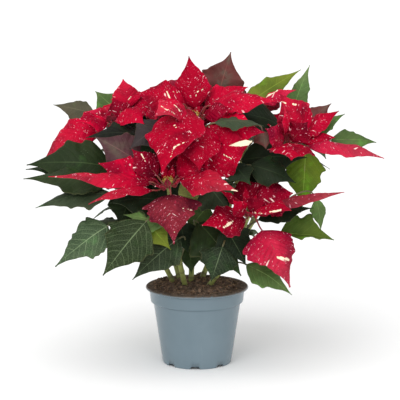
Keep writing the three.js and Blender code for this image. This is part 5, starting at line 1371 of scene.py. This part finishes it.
def make_pot():
    profile = pot_profile()
    angles = angles_round(POT_SIDES)
    radius, height = profile[:, :1], profile[:, 1:]
    notch = np.where(radius > PAD_RADIUS + RING_MARGIN, notch_height(np.degrees(angles)), 0)
    z = np.where(height > NOTCH_HEIGHT, height, np.maximum(height, notch))
    rings = np.stack([radius * np.cos(angles), radius * np.sin(angles), z], axis=-1)
    inside = np.repeat(np.arange(len(profile)) > np.argmax(profile[:, 0]) + INSIDE_AFTER, POT_SIDES)
    high = rings[..., 2].ravel() > SOIL_LEVEL - DIRT_DEPTH
    piece = Piece("pot_fine")
    faces = body_faces(len(profile), POT_SIDES)
    piece.add(rings.reshape(-1, 3), faces, POT_PLASTIC, cream=(inside & high) * DIRT_STRENGTH)
    pot = piece.make("pot_plastic", "pot")
    drills = Piece("drills")
    for k in range(DRAIN_HOLES):
        angle = math.radians(NOTCH_START + 360 * (k + 0.5) / DRAIN_HOLES)
        foot = DRAIN_CIRCLE * level(angle) + DRILL_START * UP
        drills.add_tube([foot, foot + DRILL_DEPTH * UP], DRAIN_RADIUS, DRILL_SIDES, POT_PLASTIC)
    cut(pot, drills.mesh())


def cut(thing, mesh):
    """Takes a mesh's bodies out of an object."""
    tool = add_object("tool", mesh)
    modifier = thing.modifiers.new("cut", "BOOLEAN")
    modifier.operation, modifier.solver, modifier.object = "DIFFERENCE", "EXACT", tool
    bpy.context.view_layer.update()
    done = bpy.data.meshes.new_from_object(thing.evaluated_get(bpy.context.evaluated_depsgraph_get()))
    thing.modifiers.clear()
    thing.data = done
    bpy.data.objects.remove(tool)


# ---- Soil ----

SOIL_RINGS = 70
SOIL_SIDES = 220
SOIL_SUNK = 0.6
GRAIN_SIZE = 7
GRAIN_HEIGHT = 1.3
PIT_SIZE = 2.2
PIT_HEIGHT = 0.7
SPILL_SHARES = (0, 0.3, 0.6, 0.9, 1)
SPILL_MARGIN = 1.1
SPILL_RAGGED = 1.6
SPILL_UNDERSIDE = 0.03
SPILL_EDGE = 0.06
BANK_WIDTH = 14  # the peat rises to the rim over this width
BANK_HEIGHT = POT_HEIGHT + 0.8 - SOIL_LEVEL
SOIL_SEED = 77
CRUMBS = 520
CRUMB_MARGIN = 3
CRUMB_RINGS = 5
CRUMB_SIDES = 7
FIBRES = 170
FIBRE_MARGIN = 6
FIBRE_POINTS = 8
FIBRE_SIDES = 5

# Clods that stand out of the surface: where, how wide and how high.
CLODS = [(-46, 24, 5, 5.0), (-38, 34, 4.5, 3.5), (-22, 45, 6, 2.5), (4, 50, 6, 5.0), (24, 44, 6, 2.0),
         (-52, 4, 5, 2.5), (34, 26, 6, 2.0), (-30, -30, 8, 2.0), (20, -38, 9, 1.8), (44, -10, 6, 2.0)]


def soil_rise(x, y):
    """How far the soil stands above its level at the wall, as in the CAD."""
    edge = min(1, math.hypot(x, y) / (COLLAR_RADIUS - POT_WALL))
    rise = SOIL_MOUND
    for height, fast, slow in SOIL_LUMPS:
        rise += height * math.sin(fast * x + slow * y)
    return rise * (1 - edge ** 3)


def soil_height(x, y):
    grain = GRAIN_HEIGHT * noise.fractal(Vector((x / GRAIN_SIZE, y / GRAIN_SIZE, 3.1)), 0.9, 2.1, 5)
    pits = PIT_HEIGHT * noise.fractal(Vector((x / PIT_SIZE, y / PIT_SIZE, 8.7)), 0.8, 2.0, 3)
    clods = sum(h * math.exp(-((x - u) ** 2 + (y - v) ** 2) / w ** 2) for u, v, w, h in CLODS)
    bank = smooth(COLLAR_RADIUS - BANK_WIDTH, COLLAR_RADIUS, math.hypot(x, y)) * BANK_HEIGHT
    return SOIL_LEVEL + soil_rise(x, y) + grain + pits + clods + bank - SOIL_SUNK


def ring(radius, height):
    """Points round the pot's axis, at one height or at the height that a function gives."""
    points = []
    for angle in angles_round(SOIL_SIDES):
        x, y = radius * math.cos(angle), radius * math.sin(angle)
        points.append((x, y, height(x, y) if callable(height) else height))
    return points


def make_soil():
    draw = draws(SOIL_SEED)
    step = STEP_HEIGHT + STEP_HALF
    high = (SOIL_LEVEL - step) / (POT_HEIGHT - FLANGE_THICKNESS - step)
    outer = COLLAR_LOW_RADIUS - POT_WALL + high * (COLLAR_RADIUS - COLLAR_LOW_RADIUS) - GAP
    floor = FLOOR_UNDERSIDE + FLOOR_THICKNESS + GAP
    radii = outer * np.sqrt(np.linspace(0.0002, 1, SOIL_RINGS))
    walls = [
        (outer - 0.2, SOIL_LEVEL - 2), (COLLAR_LOW_RADIUS - POT_WALL - GAP - 0.1, STEP_HEIGHT + 1),
        (BODY_RADIUS - POT_WALL - GAP, STEP_HEIGHT - 3), (FOOT_RADIUS - POT_WALL, floor), (0.5, floor),
    ]
    rings = [ring(radius, soil_height) for radius in radii] + spill()
    rings += [ring(radius, height) for radius, height in walls]
    piece = Piece("soil_fine")
    piece.add(np.array(rings)[::-1].reshape(-1, 3), body_faces(len(rings), SOIL_SIDES), PEAT)
    for _ in range(CRUMBS):
        add_crumb(piece, draw, outer - CRUMB_MARGIN)
    for _ in range(FIBRES):
        add_fibre(piece, draw, outer - FIBRE_MARGIN)
    piece.make("soil", "soil")


def spill():
    """Rings of the peat that lies on the flange: out over it with a ragged edge, and back under."""
    top, under = [], []
    low, high = COLLAR_RADIUS + FLANGE_BEVEL, RIM_RADIUS - SPILL_MARGIN
    for share in SPILL_SHARES:
        over, below = [], []
        for angle in angles_round(SOIL_SIDES):
            way = Vector(level(angle))
            edge = high - SPILL_RAGGED * abs(noise.fractal(way * 9, 0.9, 2.1, 4))
            radius = low + share * (edge - low)
            lumps = 0.5 * abs(noise.fractal(way * radius / 1.8, 0.8, 2.0, 3))
            rise = (0.35 + lumps) * (1 - share ** 4)
            over.append((radius * way.x, radius * way.y, POT_HEIGHT + SPILL_EDGE + rise))
            below.append((radius * way.x, radius * way.y, POT_HEIGHT + SPILL_UNDERSIDE))
        top.append(over)
        under.append(below)
    return top + under[::-1]


def scatter(draw, reach):
    radius, angle = reach * math.sqrt(next(draw)), 2 * math.pi * next(draw)
    return radius * math.cos(angle), radius * math.sin(angle)


def add_crumb(piece, draw, reach):
    """A clod of peat, or a chip of bark, half sunk in the surface."""
    x, y = scatter(draw, reach)
    size = 0.7 + 1.7 * next(draw) ** 2
    centre = vector([x, y, soil_height(x, y) + 0.25 * size])
    turn = 2 * math.pi * next(draw)
    flat = between(draw, 0.45, 0.95)
    points = []
    for i in range(CRUMB_RINGS):
        tilt = math.pi * (i + 0.5) / CRUMB_RINGS - math.pi / 2
        for angle in angles_round(CRUMB_SIDES) + turn:
            radius = size * between(draw, 0.75, 1.25)
            points.append(centre + radius * vector([
                math.cos(tilt) * math.cos(angle), 0.75 * math.cos(tilt) * math.sin(angle),
                flat * math.sin(tilt)]))
    shade = between(draw, 0.7, 1.6)
    tint = (shade, shade * 0.95, shade * 0.9)
    piece.add(np.array(points), body_faces(CRUMB_RINGS, CRUMB_SIDES), PEAT_BITS, tint=tint)


def add_fibre(piece, draw, reach):
    """A strand of peat that lies on the surface."""
    x, y = scatter(draw, reach)
    heading = 2 * math.pi * next(draw)
    bend = jitter(draw, 1.6)
    step = between(draw, 4, 13) / (FIBRE_POINTS - 1)
    path = []
    for _ in range(FIBRE_POINTS):
        path.append([x, y, soil_height(x, y) + 0.5])
        x += step * math.cos(heading)
        y += step * math.sin(heading)
        heading += bend / 4
    radius = between(draw, 0.16, 0.32)
    shade = between(draw, 1.2, 2.8)
    piece.add_tube(path, radius, FIBRE_SIDES, PEAT_BITS, tint=(shade, shade * 0.9, shade * 0.75))


make_plant()
make_pot()
make_soil()


# ---- Floor, light and camera ----

FLOOR_REACH = 12
SKY_STRENGTH = 0.88
SUN_STRENGTH = 1.3
SUN_ANGLE = 60
SUN_TILT = (34, -16, 0)
LIT_PLACE = (0, 0, 0.24)
CAMERA_PLACE = (0.0038, -2.1, 0.5705)
CAMERA_PITCH = 9.81
CAMERA_LENS = 153.2
CAMERA_SENSOR = 36


def make_floor():
    reach = FLOOR_REACH
    corners = [(-reach, -reach, 0), (reach, -reach, 0), (reach, reach, 0), (-reach, reach, 0)]
    mesh = bpy.data.meshes.new("floor")
    mesh.from_pydata(corners, [], [(0, 1, 2, 3)])
    skin = Skin("floor_paper")
    skin.base = skin.mix(skin.noise(3.0), *PAPER)
    mesh.materials.append(skin.finish(0.9))
    floor = add_object("floor", mesh)


def area_light(name, place, size, watts):
    """A round lamp of a size in metres, turned to the plant."""
    light = bpy.data.lights.new(name, "AREA")
    light.shape, light.size, light.energy = "DISK", size, watts
    lamp = add_object(name, light)
    lamp.location = place
    lamp.rotation_euler = (Vector(LIT_PLACE) - Vector(place)).to_track_quat("-Z", "Y").to_euler()


def make_light():
    world = bpy.data.worlds.new("studio")
    bpy.context.scene.world = world
    world.use_nodes = True
    sky = world.node_tree.nodes["Background"]
    sky.inputs["Color"].default_value = (1, 1, 1, 1)
    sky.inputs["Strength"].default_value = SKY_STRENGTH
    sun = bpy.data.lights.new("softbox_sun", "SUN")
    sun.energy = SUN_STRENGTH
    sun.angle = math.radians(SUN_ANGLE)
    add_object("softbox_sun", sun).rotation_euler = [math.radians(angle) for angle in SUN_TILT]
    area_light("front_key", (-0.7, -2.0, 1.5), 0.9, 9)
    area_light("strip", (0.78, -1.85, 0.35), 0.35, 3.5)


def make_camera():
    data = bpy.data.cameras.new("camera")
    data.lens = CAMERA_LENS
    data.sensor_width = CAMERA_SENSOR
    camera = add_object("camera", data)
    camera.location = CAMERA_PLACE
    camera.rotation_euler = (math.radians(90 - CAMERA_PITCH), 0, 0)
    bpy.context.scene.camera = camera


make_floor()
make_light()
make_camera()
bpy.context.scene.view_settings.view_transform = "Standard"
